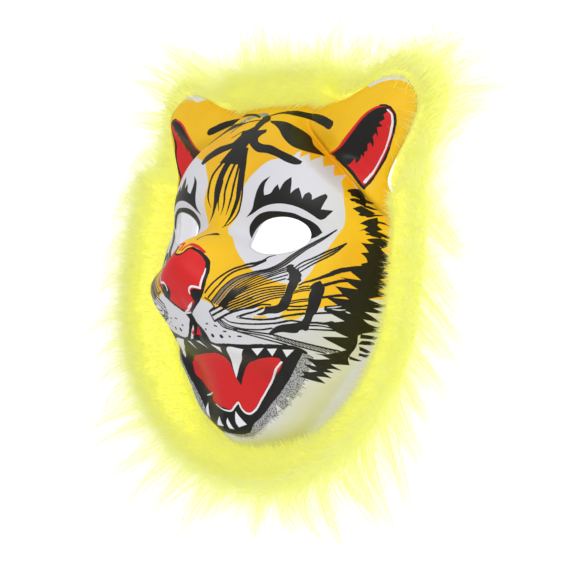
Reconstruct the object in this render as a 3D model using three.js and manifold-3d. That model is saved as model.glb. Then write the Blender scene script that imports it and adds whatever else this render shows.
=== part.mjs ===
// A child's moulded foam tiger mask, lying on its back: one sheet of printed foam with ears and eye
// holes, and a trim of long-pile fake fur around its edge.
// Millimetres. +X is the viewer's right, +Y the top of the head, +Z out of the face; it rests on z = 0.
import * as THREE from 'three';
import { mergeVertices } from 'three/addons/utils/BufferGeometryUtils.js';
import Module from 'manifold-3d';

const wasm = await Module();
wasm.setup();

// The foam sheet
const foamThick = 3;
const clear = 0.8;

// Outline of the face where the sheet ends: half width, reach above and below the nose, roundness
const rimOval = { half: 94, top: 112, bottom: 100, roundTop: 2.8, roundBottom: 1.95 };
// Each ear pushes that outline out around one direction from the nose, in degrees
const earReach = 34.6;
const earDirection = 48.5;
const earSpread = { outer: 8.6, inner: 12.1, square: 3 };
const earEdgeHeight = 21;

// The forehead, cheeks and chin are one dome that ends on an oval of its own
const domeOval = { half: 90, top: 118, bottom: 108.5, roundTop: 3.0, roundBottom: 1.41 };
const domeHeight = 58.5;
const domeFlatness = 3.5;
const domeFall = 0.8;

// The nose bridge and muzzle stand on the dome: y, extra height, half width, squareness across
const muzzle = [
  { y: -112, rise: 0, half: 26, square: 2.6 },
  { y: -78, rise: -12.5, half: 28, square: 3.7 },
  { y: -58, rise: -17.5, half: 37, square: 6 },
  { y: -31, rise: -3, half: 66, square: 6 },
  { y: -9, rise: 19, half: 57, square: 2.7 },
  { y: 11, rise: 24.5, half: 22.5, square: 2.2 },
  { y: 20, rise: 17.5, half: 20, square: 2.8 },
  { y: 27, rise: 4, half: 18, square: 3 },
  { y: 35, rise: 0.3, half: 18, square: 3 },
  { y: 46, rise: 0, half: 18, square: 3 },
  { y: 112, rise: 0, half: 18, square: 3 },
];
const jaw = { y: -57, rise: 18, half: 45, reach: 29 };
const whiskerPad = { x: 17, y: -23, rise: 2.2, half: 12, reach: 9 };
const lipGroove = { y: -25, depth: 2.4, half: 2.6, reach: 9 };
const nosePad = { y: -2, rise: 1.4, half: 17, reach: 16 };
const mouth = { y: -58, depth: 11, half: 46.5, reach: 21.5 };
const socket = { x: 40, y: 28, depth: 9, half: 28, reach: 12 };

// The ears are nearly flat plates. A crease runs from the inner corner to the outer root of each one.
const creaseCorner = new THREE.Vector2(50, 78);
const creaseAcross = new THREE.Vector2(0.614, 0.789);
const hoodAcross = new THREE.Vector2(-0.456, 0.89);
const plateHeight = 28.5;
const hoodRise = 3.5;
const cupDepth = 5;
const skirtHeight = 12;
const blend = 5;

// Eye holes: tilted ovals, wider than tall
const eye = { x: 41.2, y: 28, half: 17.4, reach: 10, tilt: 9.6, round: 2.1 };

// The fur trim: a woven backing strip and the mass of the pile
const pile = {
  x: 130, top: 137, bottom: 117, roundTop: 4.0, roundBottom: 2.1,   // the dense part
  tipX: 158, tipTop: 160, tipBottom: 152, tipRound: 3.6,            // the longest locks
  inner: 18, crest: 40, behindEar: 11, earCrest: 30, tipHeight: 14, locks: 48,
};

function ease(from, to, x) {
  const t = Math.min(Math.max((x - from) / (to - from), 0), 1);
  return t * t * (3 - 2 * t);
}

function softMax(a, b, width) {
  const h = Math.min(Math.max(0.5 + 0.5 * (a - b) / width, 0), 1);
  return b + (a - b) * h + width * h * (1 - h);
}

// A soft hill, 1 in its middle, and one with a flat top and a rounded step around it
const hill = (x, y, form) => Math.exp(-((x / form.half) ** 2 + (y / form.reach) ** 2));
const plateau = (x, y, form) => Math.exp(-(((x / form.half) ** 2 + (y / form.reach) ** 2) ** 3));

// Distance from the middle to the edge of an oval along a direction given by its cosine and sine
function ovalReach(oval, c, s) {
  const round = oval.roundBottom + (oval.roundTop - oval.roundBottom) * ease(-0.35, 0.35, s);
  const tall = s > 0 ? oval.top : oval.bottom;
  return ((Math.abs(c) / oval.half) ** round + (Math.abs(s) / tall) ** round) ** (-1 / round);
}

// Cubic through the stations, with the slope at each one taken from its neighbours
function along(stations, key, y) {
  let i = 0;
  while (i < stations.length - 2 && y > stations[i + 1].y) i += 1;
  const slope = (k) => {
    const a = stations[Math.max(k - 1, 0)];
    const b = stations[k];
    const c = stations[Math.min(k + 1, stations.length - 1)];
    if (a === b) return (c[key] - b[key]) / (c.y - b.y);
    if (c === b) return (b[key] - a[key]) / (b.y - a.y);
    const left = (b[key] - a[key]) / (b.y - a.y);
    const right = (c[key] - b[key]) / (c.y - b.y);
    return (left * (c.y - b.y) + right * (b.y - a.y)) / (c.y - a.y);
  };
  const a = stations[i];
  const b = stations[i + 1];
  const h = b.y - a.y;
  const t = Math.min(Math.max((y - a.y) / h, 0), 1);
  return (2 * t ** 3 - 3 * t ** 2 + 1) * a[key] + (t ** 3 - 2 * t ** 2 + t) * h * slope(i)
    + (3 * t ** 2 - 2 * t ** 3) * b[key] + (t ** 3 - t ** 2) * h * slope(i + 1);
}

const degrees = (x, y) => THREE.MathUtils.radToDeg(Math.atan2(y, Math.abs(x)));

function sheetReach(angle) {
  const c = Math.cos(angle);
  const s = Math.sin(angle);
  const off = degrees(c, s) - earDirection;
  const spread = off < 0 ? earSpread.outer : earSpread.inner;
  return ovalReach(rimOval, c, s) + earReach * Math.exp(-(Math.abs(off / spread) ** earSpread.square));
}

// Height of the sheet's outer face over the table. share is how far out the point is, 1 at the edge.
function faceHeight(x, y, share) {
  const ax = Math.abs(x);
  const r = Math.hypot(x, y);
  const u = r < 1e-6 ? 0 : r / ovalReach(domeOval, x / r, y / r);
  let z = domeHeight * Math.max(1 - u ** domeFlatness, 0) ** domeFall;
  z += along(muzzle, 'rise', y) * Math.exp(-((ax / along(muzzle, 'half', y)) ** along(muzzle, 'square', y)));
  z += jaw.rise * Math.exp(-((ax / jaw.half) ** 2.6 + (Math.abs(y - jaw.y) / jaw.reach) ** 2.4));
  z -= socket.depth * hill(ax - socket.x, y - socket.y, socket);
  z += whiskerPad.rise * hill(ax - whiskerPad.x, y - whiskerPad.y, whiskerPad);
  z -= lipGroove.depth * hill(ax, y - lipGroove.y, lipGroove);
  z += nosePad.rise * plateau(ax, y - nosePad.y, nosePad);
  z -= mouth.depth * plateau(ax, y - mouth.y, mouth);
  const fromCorner = new THREE.Vector2(ax, y).sub(creaseCorner);
  const past = fromCorner.dot(creaseAcross);
  const above = fromCorner.dot(hoodAcross);
  z *= 1 - ease(-8, 3, past) * ease(20, 45, ax);
  const hood = hoodRise * Math.exp(-(((above - 3) / 9) ** 2)) * ease(0, 12, past);
  const cup = cupDepth * ease(1, 13, -above) * ease(2, 10, past) * ease(1, 0.86, share);
  const skirt = skirtHeight + (plateHeight + hood - cup - skirtHeight) * ease(-10, 2, past)
    * ease(8, 34, ax);
  const edge = edgeHeight(x, y);
  const rolled = edge + (skirt - edge) * Math.sqrt(Math.max(1 - Math.min(share, 1) ** 12, 0));
  return Math.max(softMax(z, rolled, blend) - 0.25 * blend * ease(0.9, 1, share), 0);
}

// The sheet's edge lies on the table around the face and is lifted at the ears
function edgeHeight(x, y) {
  const direction = degrees(x, y);
  return earEdgeHeight * ease(24, 36, direction) * ease(76, 64, direction);
}

// Directions around the face, closer together where the ears are, the left half a mirror of the right
function directionsAround(count) {
  const fine = 720;
  const half = count / 2;
  const weight = (a) => 1 + 1.5 * Math.exp(-(((THREE.MathUtils.radToDeg(a) - 50) / 17) ** 2));
  const angleOf = (i) => (i / fine - 0.5) * Math.PI;
  const sums = [0];
  for (let i = 0; i < fine; i += 1) sums.push(sums[i] + weight(angleOf(i + 0.5)));
  const right = [-Math.PI / 2];
  let k = 0;
  for (let i = 1; i < half; i += 1) {
    const want = (i / half) * sums[fine];
    while (sums[k + 1] < want) k += 1;
    right.push(angleOf(k + (want - sums[k]) / (sums[k + 1] - sums[k])));
  }
  return [...right, Math.PI / 2, ...right.slice(1).reverse().map((angle) => Math.PI - angle)];
}

// Rings of the sheet, as shares of the way out. Near an ear they shift so that some follow its crease.
const ringShares = [0.06, 0.12, 0.17, 0.205, 0.245, 0.3, 0.37, 0.45, 0.53, 0.61, 0.68, 0.735, 0.775,
  0.805, 0.835, 0.885, 0.935, 0.975, 1];
const creaseRing = 0.8;

function ringShare(share, angle) {
  const c = Math.abs(Math.cos(angle));
  const s = Math.sin(angle);
  const direction = degrees(c, s);
  const across = creaseAcross.x * c + creaseAcross.y * s;
  const crease = creaseCorner.dot(creaseAcross) / Math.max(across, 0.1) / sheetReach(angle);
  const near = ease(22, 32, direction) * ease(92, 76, direction);
  const middle = creaseRing + (Math.min(crease, 0.92) - creaseRing) * near;
  return share < creaseRing
    ? (share / creaseRing) * middle
    : middle + ((share - creaseRing) / (1 - creaseRing)) * (1 - middle);
}

function solidFrom(positions, faces) {
  const mesh = new wasm.Mesh({
    numProp: 3,
    vertProperties: new Float32Array(positions),
    triVerts: new Uint32Array(faces),
  });
  return new wasm.Manifold(mesh);
}

function geometryFrom(solid) {
  const mesh = solid.getMesh();
  const geometry = new THREE.BufferGeometry();
  geometry.setAttribute('position', new THREE.BufferAttribute(mesh.vertProperties, 3));
  geometry.setIndex(new THREE.BufferAttribute(mesh.triVerts, 1));
  geometry.computeVertexNormals();
  return geometry;
}

// The moulded sheet: an outer face, the same face set in by the foam's thickness, and a band between
function sheetSolid() {
  const directions = directionsAround(84);
  const rings = ringShares.length;
  const positions = [];
  const faces = [];
  const outer = (share, angle) => {
    const r = sheetReach(angle) * share;
    const x = r * Math.cos(angle);
    const y = r * Math.sin(angle);
    return new THREE.Vector3(x, y, faceHeight(x, y, share));
  };
  const normal = (share, angle) => {
    const s = Math.min(share, 0.996);
    const alongRing = outer(s, angle + 0.01).sub(outer(s, angle - 0.01));
    const outward = outer(Math.min(s + 0.004, 1), angle).sub(outer(s - 0.004, angle));
    return outward.cross(alongRing).normalize();
  };
  for (const side of [0, 1]) {
    const top = faceHeight(0, 0, 0);
    positions.push(0, 0, top - side * foamThick);
    for (const ring of ringShares) {
      for (const angle of directions) {
        const share = ringShare(ring, angle);
        const point = outer(share, angle);
        if (side) point.addScaledVector(normal(share, angle), -foamThick);
        positions.push(point.x, point.y, Math.max(point.z, 0));
      }
    }
  }
  const n = directions.length;
  const perSide = 1 + rings * n;
  const at = (side, ring, k) => side * perSide + (ring < 0 ? 0 : 1 + ring * n + (k % n));
  // Each cell is split along the diagonal that lies closer to the formula's surface
  const miss = (a, b) => {
    const middle = [0, 1, 2].map((i) => 0.5 * (positions[3 * a + i] + positions[3 * b + i]));
    const share = Math.hypot(middle[0], middle[1]) / sheetReach(Math.atan2(middle[1], middle[0]));
    return Math.abs(middle[2] - faceHeight(middle[0], middle[1], share));
  };
  const quad = (a, b, c, d) => {
    const top = [a, b, c, d].map((i) => (i >= perSide ? i - perSide : i));
    if (miss(top[0], top[2]) <= miss(top[1], top[3])) faces.push(a, b, c, a, c, d);
    else faces.push(a, b, d, b, c, d);
  };
  for (let k = 0; k < n; k += 1) {
    faces.push(at(0, -1, 0), at(0, 0, k), at(0, 0, k + 1));
    faces.push(at(1, -1, 0), at(1, 0, k + 1), at(1, 0, k));
    for (let i = 0; i < rings - 1; i += 1) {
      quad(at(0, i, k), at(0, i + 1, k), at(0, i + 1, k + 1), at(0, i, k + 1));
      quad(at(1, i, k + 1), at(1, i + 1, k + 1), at(1, i + 1, k), at(1, i, k));
    }
    quad(at(0, rings - 1, k), at(1, rings - 1, k), at(1, rings - 1, k + 1), at(0, rings - 1, k + 1));
  }
  return solidFrom(positions, faces);
}

// A tilted oval prism that cuts one eye hole right through the sheet
function eyeCutter(side) {
  const points = [];
  const tilt = THREE.MathUtils.degToRad(eye.tilt);
  for (let i = 0; i < 28; i += 1) {
    const a = (i / 28) * 2 * Math.PI;
    const power = (v) => Math.sign(v) * Math.abs(v) ** (2 / eye.round);
    const p = new THREE.Vector2(eye.half * power(Math.cos(a)), eye.reach * power(Math.sin(a)));
    p.rotateAround(new THREE.Vector2(), tilt);
    points.push(new THREE.Vector2(side * (eye.x + p.x), eye.y + p.y));
  }
  const prism = new THREE.ExtrudeGeometry(new THREE.Shape(points), { depth: 100, bevelEnabled: false });
  prism.deleteAttribute('normal');
  prism.deleteAttribute('uv');
  const merged = mergeVertices(prism, 1e-4);
  return solidFrom(merged.attributes.position.array, merged.index.array);
}

// How far one lock of the pile reaches: 0 in the parting between two locks, 1 at its tip
function lockShape(angle) {
  const turn = (angle / (2 * Math.PI)) * pile.locks;
  const own = Math.floor(turn);
  const within = turn - own;
  const length = 0.35 + 0.65 * Math.abs(Math.sin(own * 2.4 + 0.7));
  return length * (1 - Math.abs(2 * within - 1)) ** 1.2;
}

// The pile: flat under, clear of the sheet inside, a crest that flares outwards, and locks of uneven reach.
// Behind each ear it stays low, because the ear's lifted plate lies over it.
function furSolid() {
  const around = pile.locks * 4;
  const dense = { half: pile.x, top: pile.top, bottom: pile.bottom, roundTop: pile.roundTop,
    roundBottom: pile.roundBottom };
  const tips = { half: pile.tipX, top: pile.tipTop, bottom: pile.tipBottom, roundTop: pile.tipRound,
    roundBottom: pile.tipRound };
  const mix = THREE.MathUtils.lerp;
  const positions = [];
  const faces = [];
  const section = 8;
  for (let k = 0; k < around; k += 1) {
    const angle = (k / around) * 2 * Math.PI;
    const c = Math.cos(angle);
    const s = Math.sin(angle);
    const lifted = edgeHeight(c, s) / earEdgeHeight;
    const under = ease(0.3, 0.85, lifted);
    const sheet = sheetReach(angle) + clear;
    const near = mix(sheet, ovalReach(rimOval, c, s) + clear, ease(0.85, 1, lifted));
    const lock = lockShape(angle);
    const full = ovalReach(dense, c, s);
    const far = full + (ovalReach(tips, c, s) - full) * lock;
    const wide = full - near;
    const lean = 0.06 * lock * Math.sign(c || 1);
    const crest = mix(pile.crest + 5 * lock, pile.earCrest, under);
    const stations = [
      [near, 0, 0],
      [near, mix(pile.inner, pile.behindEar, under), 0],
      [mix(near + 0.2 * wide, near + 0.5 * (sheet - near), under), mix(crest * 0.78, pile.behindEar, under), 0],
      [mix(near + 0.42 * wide, sheet + 2, under), mix(crest * 0.96, pile.behindEar, under), 0],
      [mix(near + 0.7 * wide, 0.5 * (sheet + full) + 1, under), crest, lean * 0.3],
      [full, crest * 0.78, lean * 0.6],
      [far, pile.tipHeight + 6 * lock, lean],
      [far - 6, 0, lean],
    ];
    for (const [r, z, turn] of stations) {
      positions.push(r * Math.cos(angle - turn), r * Math.sin(angle - turn), z);
    }
  }
  for (let k = 0; k < around; k += 1) {
    const next = ((k + 1) % around) * section;
    const here = k * section;
    for (let j = 0; j < section; j += 1) {
      const up = (j + 1) % section;
      faces.push(here + j, next + up, next + j, here + j, here + up, next + up);
    }
  }
  return solidFrom(positions, faces);
}

const foam = new THREE.MeshStandardMaterial({ color: 0xf5c414, roughness: 0.72, metalness: 0 });
const fur = new THREE.MeshStandardMaterial({ color: 0xecea62, roughness: 0.95, metalness: 0 });

const shell = new THREE.Mesh(
  geometryFrom(sheetSolid().subtract(eyeCutter(1)).subtract(eyeCutter(-1))),
  foam,
);
shell.name = 'foam_shell';

const trim = new THREE.Mesh(geometryFrom(furSolid()), fur);
trim.name = 'fur_trim';

const mask = new THREE.Group();
mask.add(shell, trim);

// The origin is under the middle of the whole outline, on the table
const middle = new THREE.Box3().setFromObject(mask).getCenter(new THREE.Vector3());
for (const piece of [shell, trim]) piece.position.set(-middle.x, -middle.y, 0);

export default mask;
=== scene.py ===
import math
import bpy
import numpy as np
from mathutils import Matrix, Vector
from mathutils.geometry import delaunay_2d_cdt


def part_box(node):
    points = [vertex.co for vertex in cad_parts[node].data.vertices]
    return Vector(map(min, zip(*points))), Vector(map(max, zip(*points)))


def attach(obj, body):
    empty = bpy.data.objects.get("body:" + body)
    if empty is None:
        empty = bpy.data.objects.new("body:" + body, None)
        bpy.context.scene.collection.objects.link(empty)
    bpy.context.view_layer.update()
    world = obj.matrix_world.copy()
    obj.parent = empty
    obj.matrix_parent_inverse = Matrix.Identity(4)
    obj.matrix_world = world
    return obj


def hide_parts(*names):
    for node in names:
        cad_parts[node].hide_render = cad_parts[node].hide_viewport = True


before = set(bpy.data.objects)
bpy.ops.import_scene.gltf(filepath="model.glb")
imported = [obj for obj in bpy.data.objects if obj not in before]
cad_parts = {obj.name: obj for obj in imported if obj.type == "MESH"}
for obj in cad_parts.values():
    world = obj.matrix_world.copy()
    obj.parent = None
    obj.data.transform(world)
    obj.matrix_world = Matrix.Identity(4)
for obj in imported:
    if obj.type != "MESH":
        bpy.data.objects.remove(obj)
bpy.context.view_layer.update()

# A child's moulded foam tiger mask, lying on its back, with a trim of long fake fur.
# Sizes are in millimetres on the face: x to the viewer's right, y up the face, nose at 0, 0.
# The nose lies on the sheet's middle line, 100 mm above its lowest point
sheetLow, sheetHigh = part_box("foam_shell")
noseAt = np.array([(sheetLow[0] + sheetHigh[0]) * 500, sheetLow[1] * 1000 + 100, 0])


# The moulded sheet's form
faceForm = {
    "foam": 3.0,
    "rim": {"half": 94, "top": 112, "bottom": 100, "roundTop": 2.8, "roundBottom": 1.95},
    "dome": {"half": 90, "top": 118, "bottom": 108.5, "roundTop": 3.0, "roundBottom": 1.41},
    "domeHeight": 58.5, "domeFlatness": 3.5, "domeFall": 0.8,
    "earReach": 34.6, "earDirection": 48.5, "earSpread": (8.6, 12.1), "earEdge": 21,
    "muzzle": [(-112, 0, 26, 2.6), (-78, -12.5, 28, 3.7), (-58, -17.5, 37, 6), (-31, -3, 66, 6),
               (-9, 19, 57, 2.7), (11, 24.5, 22.5, 2.2), (20, 17.5, 20, 2.8), (27, 4, 18, 3),
               (35, 0.3, 18, 3), (46, 0, 18, 3), (112, 0, 18, 3)],   # y, rise, half width, squareness
    "jaw": {"rise": 18, "y": -57, "half": 45, "reach": 29, "powers": (2.6, 2.4)},
    "hills": {"eyeSocket": (-9, 40, 28, 28, 12, 1), "lip": (2.2, 17, -23, 12, 9, 1),
              "groove": (-2.4, 0, -25, 2.6, 9, 1), "noseTip": (1.4, 0, -2, 17, 16, 3),
              "mouth": (-11, 0, -58, 46.5, 21.5, 3)},   # rise, x, y, half width, reach, flatness
    "earPlate": {"height": 12, "rise": 16.5, "hood": 3.5, "cup": 5, "blend": 5}, "rimTurn": 1.25,
    "crease": (50, 78), "creaseAcross": (0.614, 0.789), "hoodAcross": (-0.456, 0.89),
    "eye": {"x": 41.2, "y": 28, "half": 17.4, "reach": 10, "tilt": 9.6, "round": 2.1},
}


# Smooth step from 0 at a to 1 at b
def ease(a, b, x):
    t = np.clip((x - a) / (b - a), 0, 1)
    return t * t * (3 - 2 * t)


def mix(a, b, t):
    return a + (b - a) * t


# The larger of two heights, rounded where they cross
def softMax(a, b, width):
    h = np.clip(0.5 + 0.5 * (a - b) / width, 0, 1)
    return b + (a - b) * h + width * h * (1 - h)


# exp(-((x/half)^2 + (y/reach)^2)^power): round at power 1, with a flat top above it
def hill(x, y, half, reach, power):
    return np.exp(-((x / half) ** 2 + (y / reach) ** 2) ** power)


# Distance to the edge of a squared oval along the direction (c, s)
def ovalReach(oval, c, s):
    power = oval["roundBottom"] + (oval["roundTop"] - oval["roundBottom"]) * ease(-0.35, 0.35, s)
    tall = np.where(s > 0, oval["top"], oval["bottom"])
    return ((np.abs(c) / oval["half"]) ** power + (np.abs(s) / tall) ** power) ** (-1 / power)


def degreesUp(x, y):
    return np.degrees(np.arctan2(y, np.abs(x)))


# The rim's oval plus a bump exp(-(off/spread)^3) around each ear's direction, wider on its inner side
def sheetReach(c, s):
    off = degreesUp(c, s) - faceForm["earDirection"]
    off = np.abs(off / np.where(off < 0, *faceForm["earSpread"]))
    return ovalReach(faceForm["rim"], c, s) + faceForm["earReach"] * np.exp(-off ** 3)


def rimHeight(x, y):
    up = degreesUp(x, y)
    return faceForm["earEdge"] * ease(24, 36, up) * ease(76, 64, up)


# Cubic through the muzzle's stations, slopes from the neighbours
def alongMuzzle(column, y):
    table = np.array(faceForm["muzzle"], float)
    at, value = table[:, 0], table[:, column]
    slope = np.gradient(value, at)
    i = np.clip(np.searchsorted(at, y) - 1, 0, len(at) - 2)
    gap = at[i + 1] - at[i]
    t = np.clip((y - at[i]) / gap, 0, 1)
    return ((2 * t ** 3 - 3 * t ** 2 + 1) * value[i] + (t ** 3 - 2 * t ** 2 + t) * gap * slope[i]
            + (3 * t ** 2 - 2 * t ** 3) * value[i + 1] + (t ** 3 - t ** 2) * gap * slope[i + 1])


# Height of the outer face: dome + muzzle + jaw + hills and hollows, then the ears' plates past a crease
def faceHeight(x, y, share):
    ax, r = np.abs(x), np.hypot(x, y) + 1e-9
    u = r / ovalReach(faceForm["dome"], x / r, y / r)
    z = faceForm["domeHeight"] * np.maximum(1 - u ** faceForm["domeFlatness"], 0) ** faceForm["domeFall"]
    z = z + alongMuzzle(1, y) * np.exp(-(ax / alongMuzzle(2, y)) ** alongMuzzle(3, y))
    jaw, plate = faceForm["jaw"], faceForm["earPlate"]
    across, along = jaw["powers"]
    z = z + jaw["rise"] * np.exp(-((ax / jaw["half"]) ** across + (np.abs(y - jaw["y"]) / jaw["reach"]) ** along))
    for rise, atX, atY, half, reach, flatness in faceForm["hills"].values():
        z = z + rise * hill(ax - atX, y - atY, half, reach, flatness)
    cx, cy = ax - faceForm["crease"][0], y - faceForm["crease"][1]
    past = cx * faceForm["creaseAcross"][0] + cy * faceForm["creaseAcross"][1]
    above = cx * faceForm["hoodAcross"][0] + cy * faceForm["hoodAcross"][1]
    z = z * (1 - ease(-8, 3, past) * ease(20, 45, ax))
    hood = plate["hood"] * np.exp(-((above - 3) / 9) ** 2) * ease(0, 12, past)
    cup = plate["cup"] * ease(1, 13, -above) * ease(2, 10, past) * ease(1, 0.86, share)
    skirt = plate["height"] + (plate["rise"] + hood - cup) * ease(-10, 2, past) * ease(8, 34, ax)
    edge = rimHeight(x, y)
    rolled = edge + (skirt - edge) * np.sqrt(np.maximum(1 - np.minimum(share, 1) ** 12, 0))
    return np.maximum(softMax(z, rolled, plate["blend"]) - faceForm["rimTurn"] * ease(0.9, 1, share), 0)


# Outward unit normal, from differences along the ring and along the way out
def faceNormal(angle, share):
    def point(a, q):
        reach = sheetReach(np.cos(a), np.sin(a)) * q
        x, y = reach * np.cos(a), reach * np.sin(a)
        return np.stack([x, y, faceHeight(x, y, q)], -1)
    q = np.clip(share, 0.01, 0.996)
    across = point(angle + 0.006, q) - point(angle - 0.006, q)
    outward = point(angle, np.minimum(q + 0.003, 1)) - point(angle, q - 0.003)
    normal = np.cross(outward, across)
    return normal / np.linalg.norm(normal, axis=-1, keepdims=True)


# The face rolled out flat: a point goes to its own direction from the nose, at its distance along the surface
class FlatFace:
    def __init__(self, directions=1440, steps=420):
        self.directions, self.steps = directions, steps
        angle = np.linspace(-math.pi, math.pi, directions + 1)[:, None]
        share = 1 - (1 - np.linspace(0, 1, steps + 1)[None, :]) ** 2
        reach = sheetReach(np.cos(angle), np.sin(angle)) * share
        height = faceHeight(reach * np.cos(angle), reach * np.sin(angle), share + 0 * angle)
        step = np.hypot(np.diff(reach, axis=1), np.diff(height, axis=1))
        self.length = np.concatenate([np.zeros((directions + 1, 1)), np.cumsum(step, axis=1)], axis=1)
        even = np.linspace(0, 1, steps + 1)
        self.back = np.array([np.interp(even, row / row[-1], even) for row in self.length])

    def sample(self, table, angle, t):
        a = np.clip((angle + math.pi) / (2 * math.pi) * self.directions, 0, self.directions - 1e-6)
        b = np.clip(t * self.steps, 0, self.steps - 1e-6)
        i, j = a.astype(int), b.astype(int)
        u, v = a - i, b - j
        return ((table[i, j] * (1 - u) + table[i + 1, j] * u) * (1 - v)
                + (table[i, j + 1] * (1 - u) + table[i + 1, j + 1] * u) * v)

    def flatten(self, points):
        x, y = points[:, 0], points[:, 1]
        angle, r = np.arctan2(y, x), np.hypot(x, y) + 1e-12
        reach = sheetReach(x / r, y / r)
        share = r / reach
        length = self.sample(self.length, angle, 1 - np.sqrt(np.clip(1 - share, 0, 1)))
        length = length + np.maximum(share - 1, 0) * reach
        return np.stack([length * np.cos(angle), length * np.sin(angle)], -1)

    # Angle and share of the way out of points on the flat sheet
    def polar(self, flat):
        angle = np.arctan2(flat[:, 1], flat[:, 0])
        full = self.sample(self.length, angle, np.ones(len(flat)))
        part = np.hypot(flat[:, 0], flat[:, 1]) / full
        t = self.sample(self.back, angle, np.clip(part, 0, 1))
        return angle, np.where(part > 1, part, 1 - (1 - t) ** 2)


# Curve through the print's points, closed or open; a turn sharper than the limit stays a corner
def throughPoints(points, closed, step=0.8, sharp=50):
    p = np.array(points, float)
    nxt = np.roll(p, -1, axis=0) - p
    prv = p - np.roll(p, 1, axis=0)
    lenNext = np.linalg.norm(nxt[:, :2], axis=1) + 1e-9
    lenPrev = np.linalg.norm(prv[:, :2], axis=1) + 1e-9
    cosine = (nxt[:, :2] * prv[:, :2]).sum(1) / lenNext / lenPrev
    corner = cosine < math.cos(math.radians(sharp))
    if not closed:
        corner[0] = corner[-1] = True
    slope = (nxt / lenNext[:, None] * lenPrev[:, None] + prv / lenPrev[:, None] * lenNext[:, None]) \
        / (lenNext + lenPrev)[:, None]
    start = np.where(corner[:, None], nxt / lenNext[:, None], slope)
    end = np.roll(np.where(corner[:, None], prv / lenPrev[:, None], slope), -1, axis=0)
    count = np.maximum(np.ceil(lenNext / step), 1).astype(int)
    if not closed:
        count[-1] = 1
    which = np.repeat(np.arange(len(p)), count)
    first = np.concatenate([[0], np.cumsum(count)[:-1]])
    t = ((np.arange(len(which)) - first[which]) / count[which])[:, None]
    gap = lenNext[which][:, None]
    a, b = p[which], np.roll(p, -1, axis=0)[which]
    return ((2 * t ** 3 - 3 * t ** 2 + 1) * a + (t ** 3 - 2 * t ** 2 + t) * gap * start[which]
            + (3 * t ** 2 - 2 * t ** 3) * b + (t ** 3 - t ** 2) * gap * end[which])


# A brush stroke: a curve whose half width changes evenly between the given ones, with round or pointed ends
def strokeOutline(points, widths, rough, rng):
    line = throughPoints(points, False)
    step = np.linalg.norm(np.diff(line, axis=0), axis=1)
    way = np.concatenate([[0], np.cumsum(step)])
    half = np.interp(way / way[-1], np.linspace(0, 1, len(widths)), widths)
    side = np.gradient(line, axis=0)
    side = side / (np.linalg.norm(side, axis=1, keepdims=True) + 1e-9)
    across = np.stack([-side[:, 1], side[:, 0]], -1)
    jitter = rng.uniform(-rough, rough, (2, len(line))) * np.minimum(half, 1)
    left = line + across * (half + jitter[0])[:, None]
    right = line - across * (half + jitter[1])[:, None]
    caps = []
    for at, sign in ((-1, 1), (0, -1)):
        turn = np.radians(np.linspace(-60, 60, 5) if half[at] > 0.6 else [0])[:, None]
        caps.append(line[at] + sign * half[at] * (side[at] * np.cos(turn) - across[at] * np.sin(turn)))
    return np.concatenate([left, caps[0], right[::-1], caps[1]])


yellowInk, bareFoam, greyInk, redInk, blackInk, whiteInk, slateInk = range(7)
printed = []       # (ink, closed outline in mm), in the order in which they are laid down
brush = np.random.default_rng(11)


def lay(ink, outline, mirror):
    printed.append((ink, outline))
    if mirror:
        printed.append((ink, outline * (-1, 1)))


def patch(ink, points, mirror=True, sharp=50):
    lay(ink, throughPoints(points, True, sharp=sharp), mirror)


def stroke(ink, points, widths, mirror=True, rough=0.12):
    lay(ink, strokeOutline(points, widths, rough, brush), mirror)


# White of the muzzle, cheeks and jaw, of the eye patches and of the ears' unprinted tips
patch(bareFoam, [(0, -8), (16, -10.5), (20.5, -11.5), (24.5, -13.5), (31.5, -14), (42.5, -11.5), (47, -9.5), (47, -12),
                 (57.5, -11.5), (55, -15.5), (61.5, -15), (65, -12), (70, -8), (75, -5), (83.5, 0), (90.5, 0.5),
                 (125, 4), (125, -125), (0, -130)])
patch(yellowInk, [(44.5, -16), (50, -15), (50, -16.3), (44, -17)])
patch(bareFoam, [(33, 70), (42.5, 72.5), (43, 75.5), (46.5, 70.5), (45.5, 74.5), (50, 70), (48, 74.5), (54.5, 68),
                 (54, 70.5), (60.5, 63.5), (61, 65.5), (64.5, 60.5), (69.5, 54), (71.5, 47.5), (72.5, 42),
                 (72.5, 37), (70, 30.5), (67, 22.5), (64.5, 15), (63.5, 10.5), (60, 3.5), (53, 3), (47, 4),
                 (39, 6.5), (31, 10.5), (24.5, 15.5), (20.5, 20), (15, 25), (11, 27), (8.5, 30), (14, 38),
                 (16, 45), (16, 54.5), (21, 62), (29, 69)])
patch(bareFoam, [(97, 112), (94, 114), (91, 114.8), (86, 115), (79, 114), (73, 112), (69, 113.5), (67, 120),
                 (86, 126), (99, 117)])

# Stippled shade around the open mouth, with a short fringe
patch(greyInk, [(56.5, -31), (49.5, -43), (40, -58), (29, -69.5), (16.5, -80.5), (0, -85), (0, -87), (10.5, -87.5),
                (16, -86), (22, -82.5), (25.5, -80), (30, -76), (33.5, -72.5), (37.5, -70), (37.5, -63.5), (41, -66.5),
                (44, -62.5), (44.5, -58.5), (47, -59.5), (50, -55.5), (53.5, -50.5), (55.5, -46.5), (58, -39.5),
                (60.5, -34.5)], sharp=40)
fringe = throughPoints([(2, -87), (12, -87.3), (22, -82.6), (30, -76), (37.5, -69), (44, -62), (50, -55.5),
                        (55.5, -46.5)], False, step=1.4)
for at, out in zip(fringe[1:-1], np.gradient(fringe, axis=0)[1:-1]):
    away = np.array([out[1], -out[0]]) / np.hypot(*out)
    tip = at + away * brush.uniform(0.4, 1.9) + out * brush.uniform(-0.5, 0.5)
    stroke(greyInk, [at - away * 0.5, tip], (0.4, 0.3, 0.08))

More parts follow.
